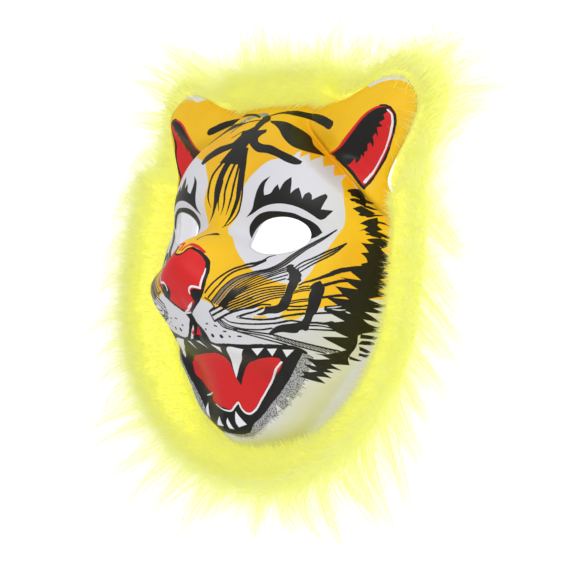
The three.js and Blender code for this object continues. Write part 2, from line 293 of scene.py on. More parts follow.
# Nose
noseOutline = [(2, 12), (3.5, 13.5), (4.2, 15.5), (5.5, 16.2), (8, 15.6), (10.5, 14.5), (13, 12.5), (15.5, 10),
               (17.5, 7), (19, 4), (19.6, 0.5), (19.4, -3), (18, -7), (15.5, -10.5), (11, -14), (3.5, -18.5)]
stroke(redInk, [(1, 14.5), (1.6, 17), (2.8, 18.3), (7, 17.6), (10.5, 16), (12.5, 14.5)], (0.7, 0.8, 0.5))
patch(redInk, [(0, 11.5)] + noseOutline + [(0, -18.8)], sharp=60)

# Ears
leafTop = [(46, 77.5), (52, 76.8), (59, 79.6), (66, 85.6), (71, 90.6), (76.5, 96), (81, 98.8), (86, 100.3),
           (89.5, 100.2), (92.5, 98.6), (94, 96.4)]
leafSide = [(94, 93), (93, 89.3), (91.5, 84.3), (90.5, 79.5), (88.7, 74.5), (85.8, 69.2), (82.4, 64), (80.5, 60)]
leafLow = [(79, 57.6), (77.5, 58.6), (74, 62), (68.5, 66.8), (64.5, 69.5), (57, 73.9)]
patch(redInk, leafTop + leafSide + leafLow, sharp=60)
patch(blackInk, [(50, 77), (54, 76), (61, 79.4), (69, 86.2), (75.5, 93), (81, 97.3), (85, 99), (91, 99.5), (91.5, 97.5),
                 (88.5, 95.5), (88.8, 93.4), (85.4, 91.6), (86.8, 90), (83.6, 89.3), (83.2, 87), (82.8, 84.6),
                 (82, 86.7), (80, 85), (79.6, 82), (78.6, 79.6), (77.8, 82.2), (76, 81.2), (75.2, 78), (73.3, 77.4),
                 (73, 74.6), (71.2, 76.2), (70.4, 73), (69.7, 71.2), (67.6, 73.8), (67, 70.2), (64.5, 69.6),
                 (57, 73.9)], sharp=35)
stroke(blackInk, leafLow[::-1], (0.9, 1.0, 0.9))
stroke(blackInk, leafTop[-4:] + leafSide + [(79, 57.8)], (0.5, 0.8, 0.8, 0.8, 0.9))
stroke(whiteInk, [(90.6, 98), (92.6, 96), (92.6, 92.6), (90.6, 88), (88.4, 82.8), (87, 78), (85.2, 74.5), (82.6, 69.6),
                  (79.8, 65), (78.8, 61)], (0.4, 0.7, 0.7, 0.8, 0.9), False)

# Stripes of the forehead
patch(greyInk, [(-18, 87.5), (-18, 92), (-15.5, 97), (-12.5, 99), (-7, 100.5), (0, 100.5), (4.5, 98), (-1.5, 98),
                (-8, 97.5), (-12, 95.5), (-16, 91.5)], False)
stroke(blackInk, [(3, 97.5), (9, 99.5), (23, 99.6), (36, 97), (44, 94.5), (51, 91.5)],
       (0.6, 0.8, 1.6, 2, 2.6, 2.6))
patch(blackInk, [(9, 94.5), (17.5, 94), (25, 92.5), (29, 90.5), (33.5, 87.5), (40, 81), (48, 75), (44.5, 75.5),
                 (39.5, 77), (34.5, 79.5), (29, 83), (21.5, 88.5), (15.5, 91.5), (11.5, 93)])
patch(blackInk, [(-31, 68), (-29.5, 71.5), (-25, 75), (-19.5, 78), (-13, 79.5), (-9.5, 80.5), (-6.5, 85), (-7.5, 88),
                 (-3, 89), (0, 91), (-0.5, 92.5), (0.5, 96), (-0.5, 97.5), (2, 99), (7.5, 96.5), (9, 94.5), (7, 92.5),
                 (5.5, 88), (12.5, 88.5), (14, 86.5), (11, 84), (10.5, 82.5), (12.5, 80.5), (16.5, 79), (24, 78),
                 (32.5, 75), (42.5, 71.5), (48, 69), (47.5, 67.3), (45.5, 67), (40, 68), (32, 71), (24.5, 73), (16, 74),
                 (9.5, 77), (5.5, 79.5), (5, 77), (7.5, 72), (11, 66), (-12, 67.5), (-7, 76.5), (-14, 74),
                 (-21.5, 70.5), (-28, 66.5)], False, sharp=45)
stroke(blackInk, [(-13, 83.5), (-11, 85), (-7, 88)], (0.3, 0.4, 0.4), False)
stroke(blackInk, [(-17.5, 87), (-15.5, 90), (-11.5, 93.5), (-5, 95), (1, 95.5)], (0.3, 0.5, 0.4), False)
fan = [
    ([(-4, 77), (-10, 67), (-14, 60), (-14, 52), (-12, 45), (-9, 41)], (2.2, 1.3, 0.9, 0.9, 0.8, 0.15)),
    ([(0, 75), (-5, 65), (-6.2, 54), (-5.2, 45), (-6.6, 38), (-8.6, 32)], (2.6, 2.6, 2.7, 2.4, 1.2, 0.15)),
    ([(-4, 56), (-3.2, 46), (-1.4, 39)], (1.4, 0.9, 0.15)),
    ([(2.7, 72), (1.2, 60.6), (1.1, 50), (2.3, 44), (0.7, 37)], (1.3, 1, 0.9, 0.8, 0.15)),
    ([(5.2, 70), (6.5, 61), (7.2, 52), (7.5, 47), (4.9, 37)], (1.1, 0.9, 0.9, 0.8, 0.15)),
    ([(6.4, 71), (11.4, 56), (12.8, 46), (9.5, 38), (5.1, 30)], (1.4, 1.9, 1.9, 1.2, 0.15)),
    ([(5.7, 75), (11, 65), (14.5, 54), (16, 47), (15, 41), (11, 35), (8, 32), (4.4, 30)],
     (2, 1.3, 0.9, 0.8, 0.7, 0.6, 0.4, 0.15)),
    ([(2.5, 21), (1, 22.5), (0.7, 24.5), (3.5, 25.6), (7.5, 25.5)], (0.2, 0.5, 0.7, 0.8, 0.4)),
]
for points, widths in fan:
    stroke(blackInk, points, widths, False)

# Eyeliner and lashes
patch(blackInk, [(24, 25.3), (21.5, 29), (21.5, 32), (24, 35.5), (28, 38.5), (34, 40.5), (39, 41), (45, 41),
                 (50.5, 40.5), (54.5, 39), (58.5, 37.5), (61.5, 35.5), (64, 32), (62, 30), (57, 27.5),
                 (41, 27)], sharp=75)
patch(blackInk, [(19.5, 36.5), (24.5, 42), (25.5, 46), (26.5, 52), (28, 56), (33, 60), (31, 56), (31, 52.5), (32, 49),
                 (36, 50.5), (37.5, 53.5), (39, 55.5), (40, 54), (41, 52.5), (42.5, 57), (45.5, 60), (46.5, 57),
                 (47.5, 51), (49.5, 53.5), (51, 54.5), (52.5, 52), (54, 48.5), (55, 51.5), (56.5, 52.5), (58, 51),
                 (58.5, 48.5), (61.5, 51), (63.5, 52.5), (64.5, 51.5), (64, 48), (63, 44), (68, 44), (66.5, 41.5),
                 (64.5, 39), (63.5, 38.5), (59.5, 40.5), (56, 42.5), (52, 44), (46.5, 45), (41, 45), (35.5, 44),
                 (30, 42), (24.5, 39)], sharp=62)

# Nose outline, nostrils and lips
stroke(blackInk, [(-1, 11.6)] + noseOutline, (0.5, 0.7, 0.9, 0.9, 0.8))
patch(blackInk, [(10.8, -7.5), (11.8, -6.2), (14, -5.5), (18.2, -5.9), (17.8, -7.2), (15.6, -10.3), (12, -13),
                 (11.2, -11.7), (10.5, -9.8)], False)
patch(blackInk, [(-14.5, -5.6), (-9.5, -5.3), (-7.5, -7), (-7, -9.5), (-10.7, -13), (-15.5, -12.5), (-17, -9.6)], False)
patch(blackInk, [(-3.4, -20.3), (3.6, -18.7), (0.5, -22), (5.3, -25), (8.4, -28), (10, -31), (11, -35), (-6, -35),
                 (-4, -32.5), (-2.2, -25.7), (-2.6, -23)], False)
patch(redInk, [(-0.4, -26.5), (3.9, -28.1), (5.8, -30.8), (-1.4, -31.1)], False)
patch(redInk, [(-2.8, -28.3), (-4.5, -31), (-2.6, -31.8)], False)
stroke(blackInk, [(1, -21.5), (3.5, -26.5), (6, -31), (9, -34), (13, -35), (21, -34.3), (30, -33.6), (41.5, -31.8),
                  (50, -30.8), (56, -30.8), (58, -32.2)], (0.9, 1.1, 1.2, 1.1))

# Whisker lines, from the muzzle out
whiskers = [
    ([(20, -7), (23, -3), (25.5, 2), (26.5, 5), (27.5, 7.5), (29.5, 9.5), (31.5, 11), (34.5, 12), (37.5, 13.7),
      (39.5, 16), (43, 17.5)], (0.45, 0.5, 0.7, 0.8, 0.15)),
    ([(21.7, -9.4), (25, -5.7), (27.7, -1), (28.4, 3.4), (29.2, 6.3), (31.2, 8.5), (34, 10), (36.6, 12), (39, 14)],
     (0.45, 0.5, 0.7, 0.6)),
    ([(56, 11.8), (58.2, 14.6), (63, 18.2), (67, 21.8), (70.3, 24.3), (74.2, 28)], (0.4, 0.5, 0.6, 0.2)),
    ([(57.4, 11.4), (61.8, 15.3), (66.6, 19.5), (70.5, 23.2), (74.2, 27.6)], (0.4, 0.45, 0.5, 0.15)),
    ([(58.6, 9.7), (63.2, 14.5), (70.7, 22), (74.2, 27.4)], (0.4, 0.45, 0.5, 0.15)),
    ([(24, -14.3), (20, -16.7), (20.6, -21.7), (26.8, -19)], (0.45, 0.45)),
    ([(20, -16.7), (26, -14), (33.5, -10), (36.7, -8)], (0.45, 0.45)),
    ([(21, -18.6), (29.4, -14.6), (35.2, -11.6), (40.7, -8.7), (44.4, -6.5)], (0.5, 0.45)),
    ([(20.6, -21.7), (31, -16.7), (39.4, -13.3), (44.7, -11.7), (49.5, -9.3), (52.4, -9)], (0.5, 0.45)),
    ([(19.6, -9.6), (22.8, -11), (24.7, -14.2)], (0.45, 0.45)),
    ([(49.5, -11), (46, -13.3), (41, -15.4), (35.4, -17.8), (41.4, -17.8), (46.5, -17.5), (53, -16), (58.4, -13.7),
      (65, -11.2)], (0.45, 0.5, 0.45)),
    ([(27.2, -19), (29.4, -20.6), (33.6, -21), (40, -20.6), (46.4, -19.7), (54, -18), (59.6, -16),
      (63, -16)], (0.4, 0.5)),
    ([(25, -20.2), (27.8, -22.4), (33.5, -23.6), (40.2, -23.4), (45.8, -22.6), (50.4, -21.2)], (0.4, 0.4)),
    ([(24.3, -20.6), (26.8, -23.3), (33, -24.3), (39.5, -24.5), (44.7, -24.6), (49.4, -24.7), (54, -25.9), (59, -27),
      (63.5, -28), (68, -29), (70.5, -29.5)], (0.4, 0.45, 0.5)),
    ([(23.4, -21), (26, -24), (32, -25.4), (38.8, -25.6), (44.7, -26), (52.5, -28), (57.5, -29.5), (61.5, -30.5),
      (65.5, -31.5)], (0.35, 0.45)),
    ([(22.7, -21.5), (24.3, -24), (28.8, -25), (34, -26), (39.8, -27), (45.3, -28), (52.4, -29.3)], (0.4, 0.4, 0.5)),
    ([(60, 3), (61.5, 4.5), (64, 5.8), (67.5, 8), (71, 10.5), (74, 13), (77, 14.5), (81, 16)], (0.4, 0.7, 1.2, 1.2)),
    ([(69.5, 4.5), (72, 6), (74.5, 7.5), (78, 8.7)], (0.8, 0.8)),
    ([(70, -2), (72.5, -1), (75, 0), (78, 0.6)], (0.7, 0.8)),
    ([(66, -16), (68.5, -15.5), (71, -15.5), (73.5, -14.5)], (0.5, 0.8)),
    ([(65, -17.5), (69.5, -17), (72.5, -17.5)], (0.4, 0.4)),
    ([(64.5, -19.5), (69, -19), (73.5, -18.5)], (0.35, 0.5)),
    ([(66, -12), (69.5, -10.5), (73.5, -9.5)], (0.4, 0.6)),
    ([(60.5, 1.5), (62, 2.5), (64, 3)], (0.4, 0.4)),
    ([(59.5, -0.5), (62, 1), (65, 2)], (0.35, 0.35)),
    ([(59.5, -1.6), (62, 0), (65, 1)], (0.35, 0.35)),
    ([(59.7, -6), (63, -4.5), (66, -3.5)], (0.35, 0.4)),
    ([(59.7, -7.2), (63, -5.6), (66, -4.5)], (0.35, 0.35)),
    ([(59.4, -8.6), (63.5, -8), (66, -7)], (0.45, 0.45)),
    ([(58.9, -10.7), (63.5, -9.6), (66, -9)], (0.5, 0.45)),
    ([(45, -17.5), (53.5, -16), (57.5, -14), (61.5, -12.7), (65, -11.5)], (0.4, 0.5)),
]
for points, widths in whiskers:
    stroke(blackInk, points, widths)
upperGuides = [
    [(23, -11.5), (27, -7), (29.7, -2.6), (31.2, 1.2), (34, 5.4), (36, 6.8), (39, 8), (43, 9.8), (47, 12.3), (49, 15),
     (52, 18.7), (56.5, 23.5), (62.4, 28), (66.4, 31), (70, 34.4)],
    [(27.5, -12.5), (32, -7.7), (34, -4), (36, -0.7), (37.3, 2), (38.7, 5), (41.6, 7), (46, 9.2), (50.3, 12.2),
     (52.4, 14.4), (54.4, 17.4), (58, 22.2), (63, 26.7), (66.4, 30), (70, 34)],
    [(29.4, -13.2), (33.5, -8.5), (36.6, -5), (39, -2.3), (41.2, 0.6), (44, 3.7), (47.3, 6.5), (50.6, 8.4), (54, 9.8)],
    [(29.7, -13.6), (33.5, -10), (36.6, -7), (39.7, -4.2), (42.6, -1.8), (45.7, 1), (49.2, 3.2), (53.2, 5.5)]]
lowGuides = [
    [(29.4, -13.2), (32.4, -10.5), (37, -8), (41.8, -4.4), (44.4, -2.2), (46.8, -0.8), (50, 0.4), (55, 1.8)],
    [(33.5, -15.7), (38.4, -13.8), (43, -11.7), (46.4, -9.8), (49.3, -8), (52, -6), (54.5, -4.8), (56.7, -4)]]


# Lines side by side between two guides, at the given shares of the way from one to the other
def linesBetween(first, second, shares, widths, ink):
    def even(points):
        curve = throughPoints(points, False)
        way = np.concatenate([[0], np.cumsum(np.linalg.norm(np.diff(curve, axis=0), axis=1))])
        return np.stack([np.interp(np.linspace(0, way[-1], 12), way, curve[:, k]) for k in (0, 1)], -1)
    for share in shares:
        stroke(ink, mix(even(first), even(second), share), widths)


linesBetween(upperGuides[0], upperGuides[1], (0.22, 0.72), (0.5, 0.6, 0.4, 0.4, 0.1), slateInk)
linesBetween(upperGuides[1], upperGuides[2][:8], (0.85,), (0.3, 0.5, 0.3, 0.2), slateInk)
linesBetween(upperGuides[0], upperGuides[1], (0, 0.45, 1), (0.35, 0.45, 0.45, 0.4, 0.35, 0.15), blackInk)
linesBetween(upperGuides[1][:9], upperGuides[2], (0.33, 0.66, 1), (0.4, 0.45, 0.45, 0.35), blackInk)
linesBetween(upperGuides[2], upperGuides[3], (0.5, 1), (0.4, 0.45, 0.4), blackInk)
linesBetween(lowGuides[0], lowGuides[1], (0, 0.2, 0.4, 0.6, 0.8, 1), (0.35, 0.45, 0.4), blackInk)
for share in np.linspace(0.02, 1, 17):          # short slanted strokes that shade the lowest pair
    at = mix(np.array((49, -25.2)), np.array((69, -29.8)), share)
    stroke(blackInk, [at + (-0.5, 0.5), at + (0.9, -1.9)], (0.3, 0.3))

# Two curved marks on the cheek
patch(blackInk, [(53.2, 13.4), (55.3, 13.3), (55, 12.6), (56.6, 11.4), (58, 11.3), (58.5, 10.2), (60, 8.4), (59.9, 6.5),
                 (60.4, 5.6), (59.6, 4), (59.6, 1.5), (59.3, -0.6), (59.8, -4), (59.8, -6.4), (59.4, -9), (58.8, -10.4),
                 (57.4, -11.6), (55, -13), (51.4, -13.7), (47.2, -15.2), (45.8, -15), (49.8, -12.3), (50.4, -10.1),
                 (53.5, -9.4), (55.2, -8.4), (56, -5.1), (56.4, -2.6), (55.9, 0), (55.5, 2.1), (55.4, 4.6), (53, 5.5),
                 (54.5, 5.5), (54.4, 7.2), (53.4, 9), (51.4, 10.4), (52.5, 10.7), (51.2, 11.8)], sharp=60)
patch(blackInk, [(64.3, 2.7), (65.6, 5), (67.8, 6.7), (68.7, 5.2), (69.6, 4), (70.1, 0.3), (70, -2), (70.1, -5),
                 (69.7, -8), (69, -10.5), (68, -12), (66.8, -15), (65.4, -17.6), (64.1, -20), (63, -20.7),
                 (62.4, -20.2), (61, -20.7), (59.8, -22), (57.3, -22.6), (53.7, -22.7), (50.7, -23.7), (47.5, -25.3),
                 (46.8, -24.7), (49.4, -22.5), (52.3, -20.2), (55.4, -18.6), (59, -17.5), (63, -15.8), (64.6, -13.6),
                 (65.5, -10.2), (66, -6.8), (65.6, -3.4), (65.2, -0.6), (65.3, 1.4)], sharp=60)

# Jagged band down the side of the face
notches = [
    ([(70, 56.8), (72, 55), (75, 52.3)], (1.2, 1.5, 0.5)),
    ([(73.3, 51.3), (75, 50.6), (77, 49)], (0.8, 1.0, 0.4)),
    ([(75, 52), (77.5, 51), (82.5, 50.5)], (0.7, 0.7, 0.15)),
    ([(77.5, 48.5), (79, 48), (82, 47.5)], (0.6, 0.5, 0.1)),
    ([(80, 34), (81.7, 34), (84, 33)], (0.5, 0.8, 0.4)),
    ([(79.5, 43.5), (81.5, 44.5), (84, 45)], (0.8, 0.5, 0.1)),
    ([(81, 40), (83, 41), (85.5, 40)], (0.9, 0.6, 0.1)),
    ([(80, 36), (83, 35), (86, 33.5)], (0.8, 1.0, 0.5)),
]
for points, widths in notches:
    stroke(blackInk, points, widths, rough=0.25)
patch(blackInk, [(74.3, 46.5), (75.5, 47.5), (76.5, 48.5), (78, 47.5), (79.5, 46.5), (81, 45.5), (79.5, 43.5),
                 (77.5, 43), (76.5, 43.5), (77, 44.5), (75.5, 45.5)], sharp=40)
patch(blackInk, [(77.5, 39), (79, 41), (80, 42), (82, 43.5), (82.5, 41), (82.5, 39.5), (84, 37.3), (83, 36.5),
                 (81.5, 35.5), (79.5, 36), (77.5, 35), (79, 36.5), (80, 38), (79, 38.5)], sharp=40)
patch(blackInk, [(83, 32.5), (85, 32.5), (86, 31.5), (86, 29), (84.5, 27), (85.5, 25.5), (87, 24), (86.5, 22.5),
                 (88, 20.5), (86.5, 19), (87, 18), (86, 16), (87.5, 15.5), (87.5, 12.5), (85.5, 11), (87, 10),
                 (89.5, 8), (87.5, 7), (85.5, 5), (88.7, 3), (85.5, 1.5), (83.5, 0), (85, -1), (86.5, -2), (90.3, -2),
                 (90.3, -3), (86.5, -4), (85, -4.5), (86.5, -5.5), (88, -6.7), (86, -7), (83, -7), (84.5, -8.5),
                 (85.5, -10), (87, -12), (85, -11.5), (82.5, -11), (83.5, -13), (85, -14.2), (89.7, -14.7), (86, -15.5),
                 (84.5, -16.2), (86.5, -17), (83.5, -17.5), (81, -18.5), (79, -20), (77, -24.5), (75, -28), (73, -31),
                 (71.5, -34), (71.3, -36.8), (68.5, -37), (65.5, -37.3), (66.5, -38.5), (68, -40.3), (65.5, -39.8),
                 (63.5, -40.3), (64.5, -41), (65.3, -42), (62, -42.2), (63, -43.5), (64, -45.2), (61.5, -44.8),
                 (59.5, -45), (60.5, -46.5), (61.3, -48.5), (58, -47.6), (56, -47), (53, -46), (55, -45), (53.7, -42.7),
                 (57, -43), (60, -42), (58, -41.5), (55.2, -38.8), (57.5, -39), (60, -39.5), (58.5, -37), (56.7, -34.8),
                 (58.5, -35.3), (60, -35.5), (66, -34.5), (64, -33), (61.7, -32.3), (65.5, -32), (72.8, -28.5),
                 (70.5, -26), (68.5, -24), (67.6, -22.7), (70, -22.3), (75.8, -21.5), (74, -20), (73, -19), (72, -17),
                 (71, -15.7), (73.5, -14.5), (77.3, -13), (75, -11), (73, -9.5), (71.5, -8.5), (71.5, -6.3), (75.3, -5),
                 (73, -3), (71.5, -2), (72.5, -1.5), (78.3, -1.4), (77.5, -0.5), (74.5, 0), (76, 1), (75, 2.5),
                 (73.2, 4.7), (76.5, 4.5), (80.3, 4.5), (78.5, 6), (77, 7.5), (75.5, 8), (76, 9), (74.2, 9.7),
                 (77.5, 9.5), (80.8, 9.4), (79, 11.5), (77.5, 13), (77.5, 15), (80.5, 16.5), (80, 18), (81.7, 19.2),
                 (81, 21.5), (79.2, 23.7), (81.5, 24.5), (80.5, 26.5), (78.7, 29.2), (80.5, 29), (82.5, 29.5),
                 (81.5, 30), (80.2, 31.2), (81.5, 32)], sharp=25)
for points in [[(80, -19), (83, -19.3), (87.3, -20.2), (84, -21), (79, -21.4)],
               [(79, -22.5), (81, -22.4), (85.3, -23.8), (81, -24.6), (77, -24.8)],
               [(77, -25.8), (78.5, -26.6), (82.3, -28.3), (79, -29), (76.5, -28)],
               [(76, -29.5), (78.5, -29.8), (81.3, -29.5), (79.5, -31.5), (75.5, -31)],
               [(72.5, -31.5), (73.5, -32.3), (77.3, -33.7), (73.5, -34), (72, -33.5)]]:
    patch(blackInk, points, sharp=40)
for points in [[(74, -7.5), (75.5, -7.6), (77.8, -7)], [(78, -8), (79.2, -8.6)],
               [(72.5, -7), (74.5, -6.4), (76.5, -5.5)]]:
    stroke(bareFoam, points, (0.15, 0.35, 0.15))

# Open mouth
patch(blackInk, [(-58, -31.5), (-50, -31), (-40, -32), (-30, -34), (-21, -34.5), (-13, -35.3), (0, -33), (13, -35.3),
                 (21, -34.5), (30, -34), (41.5, -32), (50, -31), (56, -31), (57.5, -31.5), (56.5, -33), (55, -35.3),
                 (52.5, -39.5), (50, -44), (47.5, -49), (44, -53.7), (40, -58.5), (34.5, -64), (29, -70), (23, -76),
                 (16.5, -81), (10.5, -84), (4.5, -85.5), (-6, -86.5), (-13, -85.2), (-18, -82.5), (-21, -78.2),
                 (-24.7, -73.7), (-27, -69.3), (-29, -64.7), (-30.6, -61), (-35.4, -58.3), (-41.5, -52.5),
                 (-47, -45.2), (-53, -38.5)])
patch(redInk, [(0, -41), (7.5, -40.3), (11, -41.4), (12.8, -43.6), (13, -48), (14, -53.5), (15.3, -57), (18.4, -51),
               (21.4, -46.8), (25.7, -43.4), (32.6, -40.6), (39, -38.3), (44, -37.3), (46, -37.5), (46, -39),
               (34.5, -51), (26, -62), (20, -70.3), (17.8, -72.2), (15.2, -72.3), (13.2, -70.7), (11.5, -67),
               (8.4, -70), (5.3, -72.5), (1, -72), (-6.5, -71.8), (-13.3, -70), (-11.2, -65.5), (-20.5, -63.4),
               (-27.3, -60.2), (-33.5, -57.5), (-35.6, -54.2), (-36.4, -50.6), (-27.3, -46.6), (-12.7, -43.4)], False)
stroke(whiteInk, [(46.2, -39.3), (34.6, -51), (26.5, -62.3), (20.7, -70.5), (18.2, -72.4), (15.2, -72.7), (12.6, -70.8),
                  (11.4, -67), (8.4, -70), (5.6, -73), (1, -73.4), (-9.3, -71.7)], (0.4, 0.6, 0.6, 0.5, 0.3), False)
stroke(whiteInk, [(-21.3, -68.3), (-16, -67), (-11, -65.2)], (0.3, 0.5, 0.3), False)
patch(whiteInk, [(20.5, -35.4), (16, -41), (13.8, -46.8), (13.7, -53), (18.5, -45.6), (25.7, -39.7),
                 (30.2, -35)], False)
patch(whiteInk, [(-26, -35.5), (-41, -41.8), (-44.2, -46.2), (-42.5, -48.7), (-39, -45.6), (-25.4, -40), (-17, -35.6)],
      False)
for points in [[(34.7, -34), (40.8, -32.8), (36, -37.5)], [(42.2, -33), (47, -32.1), (43.1, -36.7)],
               [(49.2, -32.3), (54.3, -31.6), (49.3, -36.3)], [(-13.4, -35.8), (-10.8, -36), (-11.3, -40.5)],
               [(-3.8, -34.7), (-1.2, -34.6), (2, -38.3)], [(8.6, -35), (15, -36), (12.2, -39.2)]]:
    patch(whiteInk, points, False, sharp=40)
for points in [[(8.3, -72.7), (8, -75.6), (9, -79), (11, -81.6), (16.3, -79), (13, -77), (10, -74.7)],
               [(-20.5, -72.4), (-21.7, -76.2), (-20.5, -79), (-16.5, -81.6), (-18, -78), (-19.5, -75.2)],
               [(3, -77.4), (3, -80), (4.5, -83.4), (7.6, -83.4), (6, -81)],
               [(-5.4, -80.4), (-4.3, -77.8), (1, -82.7), (-7.2, -83.7)]]:
    patch(whiteInk, points, False, sharp=60)

# Highlights of the nose
stroke(whiteInk, [(17.2, 6), (18, 3.6), (18.1, 0), (17.7, -3), (17.3, -4.9)], (0.2, 0.5, 0.5))
stroke(whiteInk, [(17.6, -4.8), (15.3, -4.5), (12.6, -4.5), (10.6, -5.6), (9.8, -7), (10, -8.5)], (0.5, 0.6, 0.4))
patch(whiteInk, [(9.8, -12.5), (6.8, -15.4), (2, -17.6), (-2, -18.7), (-1.9, -18.2), (3.7, -15.6)], False)

# Spots at the whiskers' roots
spots = [
    ([(19, -24), (20.4, -24.3)], 0.45), ([(10, -27), (10.6, -27)], 0.6), ([(14, -30), (14.3, -29.8)], 1.0),
    ([(20.1, -29.7), (20.4, -29.5)], 1.0), ([(25.2, -29), (25.5, -28.9)], 0.6), ([(30, -28.2), (32, -28)], 0.4),
    ([(23, -26.6), (24.6, -26.4)], 0.4), ([(29.6, -25), (31.4, -24.9)], 0.4), ([(13, -23.8), (14.6, -23.6)], 0.4),
]
for points, half in spots:
    stroke(blackInk, points, (half, half), rough=0)
print("print:", len(printed), "shapes")


# Meshes
def makeObject(name, points, faces, body="root", nodes=(), uv=None, faceValues=None):
    mesh = bpy.data.meshes.new(name)
    points = (np.asarray(points, float) + noseAt) * 0.001
    faces = np.asarray(faces)
    mesh.vertices.add(len(points))
    mesh.vertices.foreach_set("co", points.ravel())
    size = faces.shape[1]
    mesh.loops.add(faces.size)
    mesh.loops.foreach_set("vertex_index", faces.ravel().astype(np.int32))
    mesh.polygons.add(len(faces))
    mesh.polygons.foreach_set("loop_start", np.arange(0, faces.size, size, dtype=np.int32))
    mesh.polygons.foreach_set("use_smooth", np.ones(len(faces), bool))
    if uv is not None:
        layer = mesh.uv_layers.new(name="OFBake")
        layer.data.foreach_set("uv", np.asarray(uv, float).ravel())
    for key, values in (faceValues or {}).items():
        attribute = mesh.attributes.new(key, "FLOAT", "FACE")
        attribute.data.foreach_set("value", np.asarray(values, np.float32))
    mesh.update()
    mesh.validate()
    piece = bpy.data.objects.new(name, mesh)
    bpy.context.collection.objects.link(piece)
    if nodes:
        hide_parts(*nodes)
    if body:
        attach(piece, body)
    return piece


# Which points lie inside a closed outline: an odd number of its sides cross the ray to the right
def inside(points, outline):
    low, high = outline.min(0), outline.max(0)
    result = np.zeros(len(points), bool)
    near = np.where(((points > low) & (points < high)).all(1))[0]
    x1, y1 = outline[:, 0], outline[:, 1]
    x2, y2 = np.roll(x1, -1), np.roll(y1, -1)
    for part in np.array_split(near, max(1, len(near) * len(outline) // 4000000)):
        x, y = points[part, 0][:, None], points[part, 1][:, None]
        crosses = (y1 > y) != (y2 > y)
        at = (x2 - x1) * (y - y1) / np.where(y2 == y1, 1e-12, y2 - y1) + x1
        result[part] = (crosses & (x < at)).sum(1) % 2 == 1
    return result


# Even hexagonal grid of points inside a circle
def hexGrid(radius, gap):
    row = gap * math.sqrt(3) / 2
    j, i = np.mgrid[-int(radius / row) - 1:int(radius / row) + 2, -int(radius / gap) - 1:int(radius / gap) + 2]
    grid = np.stack([(i + 0.5 * (j % 2)) * gap, j * row], -1).reshape(-1, 2) + (0.013, 0.007)
    return grid[np.hypot(grid[:, 0], grid[:, 1]) < radius]


# Drops grid points that lie closer to the outlines than about one cell
def awayFrom(grid, outlines, cell):
    size = int(700 / cell)
    taken = np.zeros((size, size), bool)
    at = np.floor(np.concatenate(outlines) / cell).astype(int) + size // 2
    at = at[((at > 1) & (at < size - 2)).all(1)]
    for dx in (-1, 0, 1):
        for dy in (-1, 0, 1):
            taken[at[:, 0] + dx, at[:, 1] + dy] = True
    here = np.floor(grid / cell).astype(int) + size // 2
    return grid[~taken[here[:, 0], here[:, 1]]]


# Triangles of the plane that keep every given outline as their own sides
def triangulate(loops, grid):
    start = np.cumsum([0] + [len(loop) for loop in loops])
    points = np.concatenate(list(loops) + [grid])
    edges = [(a + i, a + (i + 1) % n) for a, n in zip(start.tolist(), map(len, loops)) for i in range(n)]
    flat, _, tris, source, _, _ = delaunay_2d_cdt([Vector(p) for p in points.tolist()], edges, [], 0, 1e-5, True)
    flat = np.array([tuple(p) for p in flat])
    tris = np.array(tris)
    side = np.cross(flat[tris[:, 1]] - flat[tris[:, 0]], flat[tris[:, 2]] - flat[tris[:, 0]])
    tris = np.where((side < 0)[:, None], tris[:, ::-1], tris)
    return flat, tris[np.abs(side) > 1e-7], source


sheetMesh = {"around": 1300, "eyeAround": 130, "gap": 1.3, "innerGap": 3.4, "clear": 0.55}


# An eye hole's outline: a squared oval, (half cos^(2/n), reach sin^(2/n)), turned by its tilt
def eyeOutline(side):
    eye = faceForm["eye"]
    a = np.linspace(0, 2 * math.pi, sheetMesh["eyeAround"], endpoint=False)
    power = 2 / eye["round"]
    px = eye["half"] * np.sign(np.cos(a)) * np.abs(np.cos(a)) ** power
    py = eye["reach"] * np.sign(np.sin(a)) * np.abs(np.sin(a)) ** power
    tilt = math.radians(eye["tilt"])
    x = eye["x"] + px * math.cos(tilt) - py * math.sin(tilt)
    y = eye["y"] + px * math.sin(tilt) + py * math.cos(tilt)
    return np.stack([side * x, y], -1)[::side]


